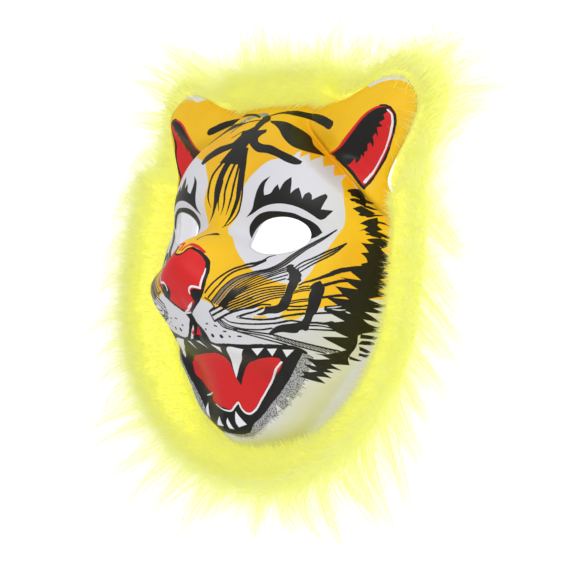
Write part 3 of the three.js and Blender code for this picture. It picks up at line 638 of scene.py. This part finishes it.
# The printed sheet: the outer face is cut along every edge of the print, the inner face is the same
# form set in by the foam's thickness, and bands close the rim and the eye holes
def makeFace():
    flatFace = FlatFace()
    a = np.linspace(-math.pi, math.pi, sheetMesh["around"], endpoint=False) + 0.001
    full = flatFace.sample(flatFace.length, a, np.ones(len(a)))
    rimLoop = np.stack([full * np.cos(a), full * np.sin(a)], -1)
    eyeLoops = [flatFace.flatten(eyeOutline(side)) for side in (1, -1)]
    inkLoops = [flatFace.flatten(outline) for _, outline in printed]
    holes = [rimLoop] + eyeLoops
    grid = awayFrom(hexGrid(full.max(), sheetMesh["gap"]), holes + inkLoops, sheetMesh["clear"])

    def keepSheet(flat, tris):
        middle = flat[tris].mean(1)
        return tris[inside(middle, rimLoop) & ~inside(middle, eyeLoops[0]) & ~inside(middle, eyeLoops[1])]

    flat, tris, _ = triangulate(holes + inkLoops, grid)
    tris = keepSheet(flat, tris)
    used, tris = np.unique(tris, return_inverse=True)
    tris, flat = tris.reshape(-1, 3), flat[used]
    middle = flat[tris].mean(1)
    ink = np.full(len(tris), float(yellowInk))
    for (colour, _), loop in zip(printed, inkLoops):
        ink[inside(middle, loop)] = colour

    def surface(plane):
        angle, share = flatFace.polar(plane)
        share = np.minimum(share, 1)
        reach = sheetReach(np.cos(angle), np.sin(angle)) * share
        x, y = reach * np.cos(angle), reach * np.sin(angle)
        return np.stack([x, y, faceHeight(x, y, share)], -1), faceNormal(angle, share)

    outer, _ = surface(flat)

    # Sides that only one triangle has: the rim and the eye holes
    sides = tris[:, [0, 1, 1, 2, 2, 0]].reshape(-1, 2)
    code = np.sort(sides, 1) @ np.array([len(flat), 1])
    _, first, count = np.unique(code, return_index=True, return_counts=True)
    border = sides[first[count == 1]]
    after = dict(border.tolist())
    loops = []
    while after:
        loop = [next(iter(after))]
        while loop[-1] in after:
            loop.append(after.pop(loop[-1]))
        loops.append(np.array(loop[:-1]))
    loops.sort(key=len, reverse=True)
    print("sheet borders:", [len(loop) for loop in loops])

    rims = [flat[loop] for loop in loops]
    innerGrid = awayFrom(hexGrid(full.max(), sheetMesh["innerGap"]), rims, sheetMesh["innerGap"] * 0.4)
    innerFlat, innerTris, source = triangulate(rims, innerGrid)
    innerTris = keepSheet(innerFlat, innerTris)
    place, normal = surface(innerFlat)
    inner = place - faceForm["foam"] * normal
    inner[:, 2] = np.maximum(inner[:, 2], 0)
    newIndex = np.full(sum(map(len, rims)), -1)
    for new, old in enumerate(source):
        for one in old:
            if one < len(newIndex):
                newIndex[one] = new
    start = len(outer)
    pairs = np.concatenate(loops)
    nextOf = np.concatenate([np.roll(np.arange(len(loop)), -1) + at for loop, at in
                             zip(loops, np.cumsum([0] + [len(loop) for loop in loops[:-1]]))])
    a0, b0 = pairs, pairs[nextOf]
    a1, b1 = newIndex + start, newIndex[nextOf] + start
    walls = np.concatenate([np.stack([b0, a0, a1], -1), np.stack([b0, a1, b1], -1)])
    faces = np.concatenate([tris, innerTris[:, ::-1] + start, walls])
    inks = np.concatenate([ink, np.full(len(innerTris) + len(walls), float(bareFoam))])

    # Map for baking: the outer face large, the inner one small beside it, the bands in strips above
    size = 2.04 * full.max()
    outerUv = 0.01 + (flat / size + 0.5) * 0.76
    innerUv = 0.78 + (innerFlat / size + 0.5) * 0.21
    n = len(pairs)
    u = 0.01 + 0.75 * np.arange(n) / n
    wallUv = np.concatenate([
        np.stack([np.stack([u + 0.75 / n, u * 0 + 0.8], -1), np.stack([u, u * 0 + 0.8], -1),
                  np.stack([u, u * 0 + 0.84], -1)], 1),
        np.stack([np.stack([u + 0.75 / n, u * 0 + 0.8], -1), np.stack([u, u * 0 + 0.84], -1),
                  np.stack([u + 0.75 / n, u * 0 + 0.84], -1)], 1)])
    uv = np.concatenate([outerUv[tris], innerUv[innerTris[:, ::-1]], wallUv]).reshape(-1, 2)
    piece = makeObject("tiger_face", np.concatenate([outer, inner]), faces, nodes=["foam_shell"],
                       uv=uv, faceValues={"ink": inks})
    print("face:", len(tris), "outer,", len(innerTris), "inner triangles")
    return piece


# The fur trim. "dense" is the oval that the pile fills and "shift" moves it to the viewer's left; "overRim" is how
# far the pile leans over the printed face, at the sides and how much more at the top and the chin
furTrim = {
    "seed": 5, "clear": 0.8,
    "dense": {"half": 124, "top": 123, "bottom": 112, "roundTop": 3.3, "roundBottom": 2.1}, "shift": -4,
    "ridge": 38, "drop": 4, "rootWidth": 10, "overRim": (5, 6), "overFace": 3,
    "tufts": (26, 9), "gather": 0.35, "lowShare": 0.25,
    "pile": {"hairs": 52000, "steps": 3, "half": 0.17, "sectors": 8},
    "halo": {"hairs": 13000, "steps": 4, "half": 0.11, "sectors": 4, "beyond": 10, "most": 42},
    "locks": {"free": 200, "hairs": 14, "long": 66, "steps": 7, "half": 0.13, "sectors": 4, "length": (18, 42)},
    "xMost": 175, "yMost": 171,
}
# Wisps that stand out: start, bend and tip, as seen from the front
wisps = [
    ((-100, 80), (-138, 52), (-160, 20)), ((-104, 40), (-148, 16), (-165, -14)),
    ((-104, 12), (-152, -10), (-167, -26)), ((-102, -14), (-156, -32), (-171, -62)),
    ((-98, -36), (-150, -52), (-168, -82)), ((-94, -48), (-138, -70), (-158, -92)),
    ((-84, -62), (-122, -82), (-143, -108)), ((-74, -74), (-120, -98), (-170, -124)),
    ((-64, -86), (-116, -108), (-164, -140)), ((-52, -96), (-100, -120), (-134, -154)),
    ((-42, -100), (-76, -132), (-108, -168)), ((-30, -104), (-55, -140), (-75, -162)),
    ((-12, -106), (-28, -142), (-44, -168)), ((8, -106), (-4, -130), (-30, -153)),
    ((20, -104), (17, -134), (10, -156)), ((30, -102), (41, -129), (50, -142)),
    ((42, -98), (56, -125), (69, -140)), ((56, -92), (75, -120), (84, -142)),
    ((66, -84), (85, -108), (110, -122)), ((76, -76), (95, -99), (106, -124)),
    ((84, -68), (106, -96), (116, -128)), ((92, -54), (119, -82), (126, -118)),
    ((96, -42), (122, -62), (130, -90)), ((98, -30), (126, -46), (130, -66)),
    ((100, -16), (131, -31), (142, -50)), ((100, 0), (132, -13), (146, -34)),
    ((100, 16), (133, 0), (145, -22)), ((98, 34), (126, 20), (144, -10)),
    ((98, 52), (126, 40), (144, 16)), ((98, 62), (130, 48), (143, 22)),
    ((104, 82), (136, 84), (146, 98)), ((102, 90), (143, 99), (168, 104)),
    ((98, 98), (147, 113), (172, 110)), ((94, 104), (136, 121), (158, 127)),
    ((84, 108), (120, 130), (140, 134)), ((68, 112), (108, 130), (130, 134)),
    ((46, 114), (68, 132), (78, 144)), ((26, 116), (42, 138), (54, 152)),
    ((6, 116), (6, 140), (2, 154)), ((-10, 116), (-16, 142), (-20, 164)),
    ((-26, 114), (-28, 140), (-31, 160)), ((-42, 112), (-74, 148), (-142, 164)),
    ((-54, 110), (-80, 137), (-135, 160)), ((-66, 108), (-104, 136), (-168, 150)),
    ((-80, 104), (-120, 130), (-164, 138)), ((-88, 98), (-128, 116), (-160, 100)),
    ((-94, 92), (-120, 100), (-147, 98)), ((-98, 84), (-122, 82), (-140, 66)),
]


# In each direction: where the trim starts, the sheet's edge, the pile's outline, and how far it is under an ear.
# It starts at the sheet's edge, but under the lifted ears at the face's own oval
def trimLimits(angle):
    c, s = np.cos(angle), np.sin(angle)
    lifted = rimHeight(c, s) / faceForm["earEdge"]
    sheet = sheetReach(c, s) + furTrim["clear"]
    near = mix(sheet, ovalReach(faceForm["rim"], c, s) + furTrim["clear"], ease(0.85, 1, lifted))
    full = ovalReach(furTrim["dense"], c, s) + furTrim["shift"] * c
    return near, sheet, np.maximum(full, sheet + 6), ease(0.3, 0.85, lifted)


# Point at a distance from the nose along an angle, at a height
def around(angle, r, z):
    return np.stack([r * np.cos(angle), r * np.sin(angle), z + 0 * r], -1)


# Cubic curve p0 .. p3 of every hair at once, as hair x step x 3
def bezier(p0, p1, p2, p3, steps):
    t = np.linspace(0, 1, steps + 1)[None, :, None]
    p0, p1, p2, p3 = (p[:, None, :] for p in (p0, p1, p2, p3))
    return p0 * (1 - t) ** 3 + 3 * p1 * t * (1 - t) ** 2 + 3 * p2 * t * t * (1 - t) + p3 * t ** 3


# A wave across each hair that grows with the square of the way along it
def wave(paths, size, turns, rng):
    n, steps = paths.shape[0], paths.shape[1]
    t = np.linspace(0, 1, steps)[None, :]
    phase = rng.uniform(0, 2 * math.pi, (n, 3))
    amount = size[:, None] * t ** 1.6
    shift = np.stack([amount * np.sin(2 * math.pi * turns[:, None] * t + phase[:, k, None]) for k in range(3)], -1)
    return paths + (shift - shift[:, :1]) * (1, 1, 0.6)


# The brush's top: from just over the printed face, up to the ridge, then down to the outer tips
def brushTop(angle, w):
    near, sheet, full, under = trimLimits(angle)
    low, more = furTrim["overRim"]
    lean = low + more * np.sin(angle) ** 2
    inner = mix(near - lean, sheet + 3, under)
    share = np.minimum(inner / sheetReach(np.cos(angle), np.sin(angle)), 1)
    face = faceHeight(inner * np.cos(angle), inner * np.sin(angle), share) + furTrim["overFace"]
    start = mix(face, 21, under)
    ridge = mix(furTrim["ridge"], 27, under)
    z = start + (ridge - start) * ease(0, 0.55, w) - furTrim["drop"] * ease(0.55, 1, w)
    return mix(inner, full, np.clip(w, 0, 1) ** 0.9), z


# Hairs from p0 to p3 that leave the backing outwards, turned up by an angle in degrees, over 0.45 of their length
def rooted(angle, rise, p0, p3, steps):
    rise = np.radians(rise)
    out = np.stack([np.cos(angle) * np.cos(rise), np.sin(angle) * np.cos(rise), np.sin(rise)], -1)
    p1 = p0 + out * (np.linalg.norm(p3 - p0, axis=1) * 0.45)[:, None]
    return bezier(p0, p1, mix(p1, p3, 0.6), p3, steps)


# Short dense hairs: from the backing to the brush's top, gathered a little into tufts
def pileHairs(rng):
    pile = furTrim["pile"]
    count = pile["hairs"]
    angle = rng.uniform(-math.pi, math.pi, count)
    v = rng.uniform(0, 1, count)
    near, sheet, full, under = trimLimits(angle)
    w = np.clip(v + rng.normal(0, 0.08, count), 0, 1)
    root = mix(near + 1 + v * furTrim["rootWidth"], sheet - 3 + v * 10, under)
    p0 = around(angle, root, mix(9 - 6 * v, 8 - 5 * v, under))
    tipR, tipZ = brushTop(angle, w)
    tipR = tipR + (rng.normal(0, 1.6, count) + rng.exponential(2.5, count)) * w
    p3 = around(angle + rng.normal(0, 0.035, count), tipR, tipZ + rng.normal(0, 1.6, count))
    low = rng.uniform(0, 1, count) < furTrim["lowShare"]     # these stay shorter and fill the underside
    p3 = np.where(low[:, None], mix(p0, p3, rng.uniform(0.5, 0.9, count)[:, None]) * (1, 1, 0.9), p3)
    perRadian, acrossTrim = furTrim["tufts"]
    cell = (np.floor((angle + math.pi) * perRadian) * (acrossTrim + 3) + np.floor(v * acrossTrim)).astype(int)
    total = np.bincount(cell)
    middle = np.stack([np.bincount(cell, p3[:, k]) for k in range(3)], -1) / np.maximum(total, 1)[:, None]
    p3 = mix(p3, middle[cell], furTrim["gather"] * rng.uniform(0, 1, count)[:, None])
    paths = rooted(angle, mix(mix(104, 50, w), mix(20, 14, v), under), p0, p3, pile["steps"])
    paths = wave(paths, rng.uniform(0.4, 2.2, count), rng.uniform(0.4, 1.1, count), rng)
    return paths, angle, pile["half"] * rng.uniform(0.75, 1.25, count)


# Fine hairs that pass the pile's outline, most by a little and a few by much (an exponential fall)
def haloHairs(rng):
    halo = furTrim["halo"]
    count = halo["hairs"]
    angle = rng.uniform(-math.pi, math.pi, count)
    v = rng.uniform(0.2, 1, count)
    near, sheet, full, under = trimLimits(angle)
    p0 = around(angle, mix(near + 1 + v * furTrim["rootWidth"], sheet - 3 + v * 10, under), 9 - 5 * v)
    tipR, tipZ = brushTop(angle, rng.uniform(0.45, 1, count))
    beyond = np.minimum(rng.exponential(halo["beyond"], count), halo["most"])
    tipZ = np.maximum(tipZ + rng.normal(1, 5, count) - 0.25 * beyond, 4)
    p3 = around(angle + rng.normal(0, 0.07, count), mix(tipR, full, 0.6) + beyond, tipZ)
    paths = rooted(angle, mix(rng.uniform(40, 62, count), 16, under), p0, p3, halo["steps"])
    paths = wave(paths, rng.uniform(0.8, 4.0, count), rng.uniform(0.4, 1.1, count), rng)
    return paths, angle, halo["half"] * rng.uniform(0.75, 1.25, count)


# Long hairs: each lock or wisp follows one guide curve from the trim to its tip, and its hairs close on it.
# Wisps in the view's lower right lie low, the others stand as high as the pile
def lockHairs(rng):
    lock = furTrim["locks"]
    free = lock["free"]
    angle = rng.uniform(-math.pi, math.pi, free)
    near, sheet, full, under = trimLimits(angle)
    start = mix(near + rng.uniform(3, 12, free), sheet + rng.uniform(0, 8, free), under)
    sweep = angle - np.radians(20) * np.cos(angle) + rng.normal(0, 0.2, free)
    p0 = around(angle, start, 7)
    p3 = p0 + around(sweep, rng.uniform(*lock["length"], free), rng.uniform(14, 34, free))
    up = (0, 0, 1) * np.linalg.norm(p3 - p0, axis=1, keepdims=True)
    p1 = mix(p0, p3, 0.25) + up * rng.uniform(0.2, 0.4, (free, 1))
    p2 = mix(p0, p3, 0.72) + up * rng.uniform(0.0, 0.16, (free, 1))
    named = np.array(wisps, float)
    heights = np.stack([np.full(len(named), 8.0)] + [np.where((named[:, 0, 0] > 15) & (named[:, 0, 1] < 70), a, b)
                       for a, b in ((24, 38), (8, 26))], -1)
    n0, bend, n3 = (np.concatenate([named[:, k], heights[:, k, None]], 1) for k in range(3))
    p1 = np.concatenate([p1, mix(n0, bend, 0.55) + (0, 0, 12)])
    p2 = np.concatenate([p2, mix(bend, n3, 0.3)])
    p0, p3 = np.concatenate([p0, n0]), np.concatenate([p3, n3])
    hairs = np.concatenate([np.full(free, lock["hairs"]), np.full(len(named), lock["long"])])
    spread = np.concatenate([np.full(free, 3.0), np.full(len(named), 5.0)])
    which = np.repeat(np.arange(len(p0)), hairs)
    n = len(which)
    off = rng.normal(0, 1, (n, 3)) * spread[which][:, None] * (1, 1, 0.35)
    stretch = rng.uniform(0.4, 1.0, n)[:, None] ** 0.8
    q0 = p0[which] + off
    q1, q2 = p1[which] + off * 0.9, p2[which] + off * 0.55
    q3 = p3[which] + off * 0.22 + rng.normal(0, 1.4, (n, 3))
    q1, q2, q3 = mix(q0, q1, stretch), mix(q0, q2, stretch), mix(q0, q3, stretch)
    paths = bezier(q0, q1, q2, q3, lock["steps"])
    paths = wave(paths, rng.uniform(0.8, 3.2, n), rng.uniform(0.5, 1.3, n), rng)
    return paths, np.arctan2(q0[:, 1], q0[:, 0]), lock["half"] * rng.uniform(0.7, 1.3, n)


# Three-sided tapering hairs around their paths, each closed at both ends
def hairMesh(paths, half, tint):
    n, rings = paths.shape[0], paths.shape[1] - 1
    along = np.gradient(paths, axis=1)
    along /= np.linalg.norm(along, axis=2, keepdims=True) + 1e-9
    other = np.random.default_rng(1).normal(0, 1, (n, 1, 3))
    across = np.cross(along, other)
    across /= np.linalg.norm(across, axis=2, keepdims=True) + 1e-9
    third = np.cross(along, across)
    t = np.linspace(0, 1, rings + 1)[:-1]
    r = half[:, None] * (1 - t) ** 0.55
    turn = np.radians([0, 120, 240])
    ring = (paths[:, :-1, None, :] + r[..., None, None] * (across[:, :-1, None, :] * np.cos(turn)[:, None]
            + third[:, :-1, None, :] * np.sin(turn)[:, None]))
    points = np.concatenate([ring.reshape(n, -1, 3), paths[:, -1:, :]], 1)
    points[..., 2] = np.maximum(points[..., 2], 0.3)
    i, j = np.mgrid[0:rings - 1, 0:3]
    i, j = i.ravel(), j.ravel()
    k = (j + 1) % 3
    tip = rings * 3
    last = (rings - 1) * 3
    one = np.concatenate([
        np.stack([i * 3 + j, i * 3 + k, i * 3 + 3 + k], -1), np.stack([i * 3 + j, i * 3 + 3 + k, i * 3 + 3 + j], -1),
        [[last, last + 1, tip], [last + 1, last + 2, tip], [last + 2, last, tip]], [[0, 2, 1]]])
    faces = (one[None] + (np.arange(n) * (tip + 1))[:, None, None]).reshape(-1, 3)
    u = np.concatenate([np.repeat(t, 3) * 0.95 + np.tile([0, 0.02, 0], rings) + 0.01, [0.99]])
    v = np.concatenate([np.tile([0.15, 0.5, 0.85], rings), [0.5]])
    uv = np.stack([np.broadcast_to(u, (n, len(u))), (tint[:, None] + v) / 16], -1).reshape(-1, 2)
    return points.reshape(-1, 3), faces, uv[faces.ravel()]


def makeFur(materials):
    rng = np.random.default_rng(furTrim["seed"])
    made = 0
    kinds = (("pile", pileHairs, "pile"), ("halo", haloHairs, "locks"), ("locks", lockHairs, "locks"))
    for name, grow, material in kinds:
        paths, angle, half = grow(rng)
        paths[..., 0] = np.clip(paths[..., 0], -furTrim["xMost"], furTrim["xMost"])
        paths[..., 1] = np.clip(paths[..., 1], -furTrim["yMost"], furTrim["yMost"])
        tint = rng.integers(0, 16, len(paths))
        sectors = furTrim[name]["sectors"]
        sector = np.floor((angle + math.pi) / (2 * math.pi) * sectors).astype(int) % sectors
        for k in range(sectors):
            own = sector == k
            points, faces, uv = hairMesh(paths[own], half[own], tint[own])
            piece = makeObject(f"fur_{name}_{k + 1}", points, faces, nodes=["fur_trim"], uv=uv)
            piece.data.materials.append(materials[material])
            made += len(faces)
    print("fur:", made, "triangles")


# The mass under the hairs: a closed band around the face, its section a low hill
def makeUndercoat(material):
    angle = np.linspace(-math.pi, math.pi, 720, endpoint=False)[:, None]
    near, sheet, full, under = trimLimits(angle)
    rng = np.random.default_rng(8)
    bumps = sum(np.sin(angle * f + p) for f, p in zip((17, 29, 43, 61), rng.uniform(0, 6, 4))) * 0.5
    wide = full - near
    rim = rimHeight(np.cos(angle), np.sin(angle))
    # Beside the face: share of the fur's width, height, lumpiness. Beneath the ears: distance, height
    section = [(0, 0.4, 0), (0, 8, 0), (0.12, 17, 0), (0.3, 26, 1), (0.46, 28, 1), (0.58, 22, 1), (0.44, 12, 1),
               (0.28, 4, 0), (0.22, 0.4, 0)]
    beneath = [(near, 0.4), (near, 7), (mix(near, sheet, 0.4), 8), (sheet - 4, 8), (sheet + 1, rim - 2),
               (sheet + 3, rim - 3), (sheet + 4, 10), (sheet + 4, 4), (sheet + 3, 0.4)]
    r = np.concatenate([mix(near + part * wide, low, under) + lump * bumps
                        for (part, _, lump), (low, _) in zip(section, beneath)], 1)
    z = np.concatenate([mix(high, low, under) + lump * bumps
                        for (_, high, lump), (_, low) in zip(section, beneath)], 1)
    points = around(angle, r, z).reshape(-1, 3)
    n, m = r.shape
    k, j = np.mgrid[0:n, 0:m]
    a, b = k * m + j, k * m + (j + 1) % m
    c, d = ((k + 1) % n) * m + (j + 1) % m, ((k + 1) % n) * m + j
    faces = np.stack([a, b, c, d], -1).reshape(-1, 4)[:, ::-1]
    u, v = (k / n)[..., None], (j / m)[..., None]
    uv = np.concatenate([np.concatenate([u, v], -1), np.concatenate([u, v + 1 / m], -1),
                         np.concatenate([u + 1 / n, v + 1 / m], -1), np.concatenate([u + 1 / n, v], -1)],
                        -1).reshape(-1, 4, 2)[:, ::-1].reshape(-1, 2)
    piece = makeObject("fur_undercoat", points, faces, nodes=["fur_trim"], uv=uv * 0.98 + 0.01)
    piece.data.materials.append(material)


# A shader socket that takes part in arithmetic
class Signal:
    def __init__(self, tree, socket=None):
        self.tree, self.socket = tree, socket

    def make(self, kind, settings=None, sockets=None, out=0):
        node = self.tree.nodes.new(kind)
        for key, value in (settings or {}).items():
            if key == "stops":
                ramp = node.color_ramp
                while len(ramp.elements) < len(value):
                    ramp.elements.new(0.5)
                for element, (at, colour) in zip(ramp.elements, value):
                    element.position, element.color = at, (*colour, 1)
            else:
                setattr(node, key, value)
        for key, value in (sockets or {}).items():
            target = node.inputs[key]
            if isinstance(value, Signal):
                self.tree.links.new(value.socket, target)
            elif isinstance(value, tuple) and len(value) == 3 and len(target.default_value) == 4:
                target.default_value = (*value, 1)
            else:
                target.default_value = value
        return Signal(self.tree, node.outputs[out])

    def math(self, operation, *others):
        return self.make("ShaderNodeMath", {"operation": operation}, dict(enumerate([self, *others])))

    def __add__(self, other): return self.math("ADD", other)
    __radd__ = __add__
    def __sub__(self, other): return self.math("SUBTRACT", other)
    def __mul__(self, other): return self.math("MULTIPLY", other)
    __rmul__ = __mul__

    def equals(self, value): return self.math("COMPARE", float(value), 0.3)

    def between(self, low, high):
        return self.make("ShaderNodeMapRange", {"interpolation_type": "SMOOTHSTEP"},
                         {"Value": self, "From Min": low, "From Max": high})

    # This signal picks between two colours: 0 gives the first
    def pick(self, first, second):
        return self.make("ShaderNodeMix", {"data_type": "RGBA"}, {0: self, 6: first, 7: second}, out=2)


def newMaterial(name):
    material = bpy.data.materials.new(name)
    material.use_nodes = True
    tree = material.node_tree
    shader = tree.nodes["Principled BSDF"]
    return material, Signal(tree), shader


def connect(signal, shader, **sockets):
    for key, value in sockets.items():
        socket = shader.inputs[key.replace("_", " ")]
        if isinstance(value, Signal):
            signal.tree.links.new(value.socket, socket)
        else:
            socket.default_value = value


def noise(signal, where, scale, detail=2.0, roughness=0.5):
    return signal.make("ShaderNodeTexNoise", {"noise_dimensions": "3D"},
                       {"Vector": where, "Scale": scale, "Detail": detail, "Roughness": roughness})


foamLook = {
    "yellow": (0.93, 0.56, 0.006), "yellowDeep": (0.88, 0.47, 0.004), "white": (0.72, 0.72, 0.77),
    "red": (0.70, 0.012, 0.014), "slate": (0.16, 0.14, 0.13),
    "black": (0.005, 0.0045, 0.004), "topWhite": (0.86, 0.86, 0.92), "grey": (0.10, 0.10, 0.11),
    "greyPale": (0.42, 0.42, 0.44),
    "roughness": 0.55, "gloss": 0.35, "grain": 0.15,
}


def makeFoamMaterial():
    material, s, shader = newMaterial("printed foam")
    where = s.make("ShaderNodeTexCoord", out=3)
    ink = s.make("ShaderNodeAttribute", {"attribute_name": "ink"}, out=2)
    cloud = noise(s, where, 22, 3)
    grain = noise(s, where, 900, 2, 0.6)
    yellow = cloud.between(0.35, 0.7).pick(foamLook["yellow"], foamLook["yellowDeep"])
    speck = s.make("ShaderNodeTexVoronoi", {"feature": "F1"}, {"Vector": where, "Scale": 1100.0})
    stipple = speck.between(0.36, 0.5)
    colour = ink.equals(bareFoam).pick(yellow, foamLook["white"])
    colour = ink.equals(greyInk).pick(colour, stipple.pick(foamLook["grey"], foamLook["greyPale"]))
    colour = ink.equals(redInk).pick(colour, foamLook["red"])
    colour = ink.equals(blackInk).pick(colour, foamLook["black"])
    colour = ink.equals(whiteInk).pick(colour, foamLook["topWhite"])
    colour = ink.equals(slateInk).pick(colour, foamLook["slate"])
    bump = s.make("ShaderNodeBump", {}, {"Strength": foamLook["grain"], "Distance": 0.0004, "Height": grain})
    rough = foamLook["roughness"] + (grain - 0.5) * 0.2 - ink.equals(blackInk) * 0.08
    connect(s, shader, Base_Color=colour, Roughness=rough, Normal=bump, Specular_IOR_Level=foamLook["gloss"])
    return material


furLook = {
    "pile": [(0.0, (0.92, 0.88, 0.12)), (0.5, (0.94, 0.94, 0.22)), (1.0, (0.95, 0.97, 0.42))],
    "locks": [(0.0, (0.94, 0.93, 0.24)), (0.35, (0.94, 0.95, 0.46)), (1.0, (0.92, 0.94, 0.62))],
    "under": (0.93, 0.90, 0.14), "underPale": (0.94, 0.93, 0.20),
    # The glow values are painted light: the hairs and the undercoat emit their own colour, lifting the shade inside the
    # fur as light scattered through it would.
    "roughness": 0.6, "through": 0.5, "paintedGlow": 0.34, "undercoatPaintedGlow": 0.34,
}


# Hair colour runs along each hair (u) and differs a little from hair to hair (v)
def makeHairMaterial(name):
    material, s, shader = newMaterial("fur " + name)
    where = s.make("ShaderNodeUVMap", {"uv_map": "OFBake"})
    split = s.make("ShaderNodeSeparateXYZ", {}, {0: where})
    across = Signal(s.tree, split.socket.node.outputs[1])
    ramp = s.make("ShaderNodeValToRGB", {"stops": furLook[name]}, {0: split})
    hair = s.make("ShaderNodeTexWhiteNoise", {"noise_dimensions": "1D"}, {"W": (across * 16).math("FLOOR")})
    tone = hair.between(0.0, 1.0)
    pale = (tone * 0.25).pick(ramp, (0.96, 0.97, 0.55))
    # Painted light: the hairs glow in their own colour (emission), brightening their shaded parts as if light passed
    # through the fur.
    connect(s, shader, Base_Color=pale, Roughness=furLook["roughness"], Emission_Color=pale,
            Emission_Strength=furLook["paintedGlow"])
    leaf = s.make("ShaderNodeBsdfTranslucent", {}, {"Color": pale})
    both = s.make("ShaderNodeMixShader", {}, {0: furLook["through"], 1: Signal(s.tree, shader.outputs[0]), 2: leaf})
    out = s.tree.nodes["Material Output"]
    s.tree.links.new(both.socket, out.inputs["Surface"])
    return material


def makeUndercoatMaterial():
    material, s, shader = newMaterial("undercoat")
    where = s.make("ShaderNodeTexCoord", out=3)
    lumps = noise(s, where, 120, 4, 0.7)
    colour = lumps.between(0.3, 0.75).pick(furLook["under"], furLook["underPale"])
    bump = s.make("ShaderNodeBump", {}, {"Strength": 0.8, "Distance": 0.003, "Height": lumps})
    # Painted light: the undercoat glows in its own colour (emission), lifting the shade on its side away from the
    # lamps.
    connect(s, shader, Base_Color=colour, Roughness=0.9, Normal=bump, Emission_Color=colour,
            Emission_Strength=furLook["undercoatPaintedGlow"])
    return material


face = makeFace()
face.data.materials.append(makeFoamMaterial())
makeFur({name: makeHairMaterial(name) for name in ("pile", "locks")})
makeUndercoat(makeUndercoatMaterial())

# Stage, camera and light
camera = {
    "at": (411.32, -1.60, 400.53), "right": (0.696, 0.1185, -0.7085), "up": (-0.083, 0.993, 0.0845),
    "back": (0.7136, 0.0, 0.7006), "lens": 59.37,
}
lens = bpy.data.cameras.new("camera")
lens.lens, lens.sensor_width = camera["lens"], 36
lens.clip_start, lens.clip_end = 0.01, 20
eyePoint = bpy.data.objects.new("camera", lens)
columns = [camera["right"], camera["up"], camera["back"]]
turn = Matrix([[columns[k][i] for k in range(3)] for i in range(3)])
eyePoint.matrix_world = Matrix.Translation(Vector(camera["at"]) * 0.001) @ turn.to_4x4()
bpy.context.collection.objects.link(eyePoint)
bpy.context.scene.camera = eyePoint

floorMesh = bpy.data.meshes.new("floor")
floorMesh.from_pydata([(-4, -4, -0.0005), (4, -4, -0.0005), (4, 4, -0.0005), (-4, 4, -0.0005)], [], [(0, 1, 2, 3)])
floor = bpy.data.objects.new("floor", floorMesh)
bpy.context.collection.objects.link(floor)
floorMaterial, s, shader = newMaterial("floor")
connect(s, shader, Base_Color=(0.3, 0.3, 0.3, 1), Roughness=0.9, Emission_Color=(1, 1, 1, 1), Emission_Strength=0.92)
floorMesh.materials.append(floorMaterial)

world = bpy.data.worlds.new("studio")
world.use_nodes = True
world.node_tree.nodes["Background"].inputs[0].default_value = (1, 1, 1, 1)
world.node_tree.nodes["Background"].inputs[1].default_value = 0.6
bpy.context.scene.world = world


def addLight(name, at, aim, size, power):
    data = bpy.data.lights.new(name, "AREA")
    data.shape, data.size, data.energy = "DISK", size, power
    light = bpy.data.objects.new(name, data)
    light.location = at
    light.rotation_euler = (Vector(aim) - Vector(at)).to_track_quat("-Z", "Y").to_euler()
    bpy.context.collection.objects.link(light)


addLight("key", (0.5, 0.7, 1.2), (0, 0, 0.05), 0.7, 6.5)
addLight("fill", (0.9, -0.8, 0.9), (0, 0, 0.05), 0.9, 3)
bpy.context.scene.view_settings.view_transform = "Standard"
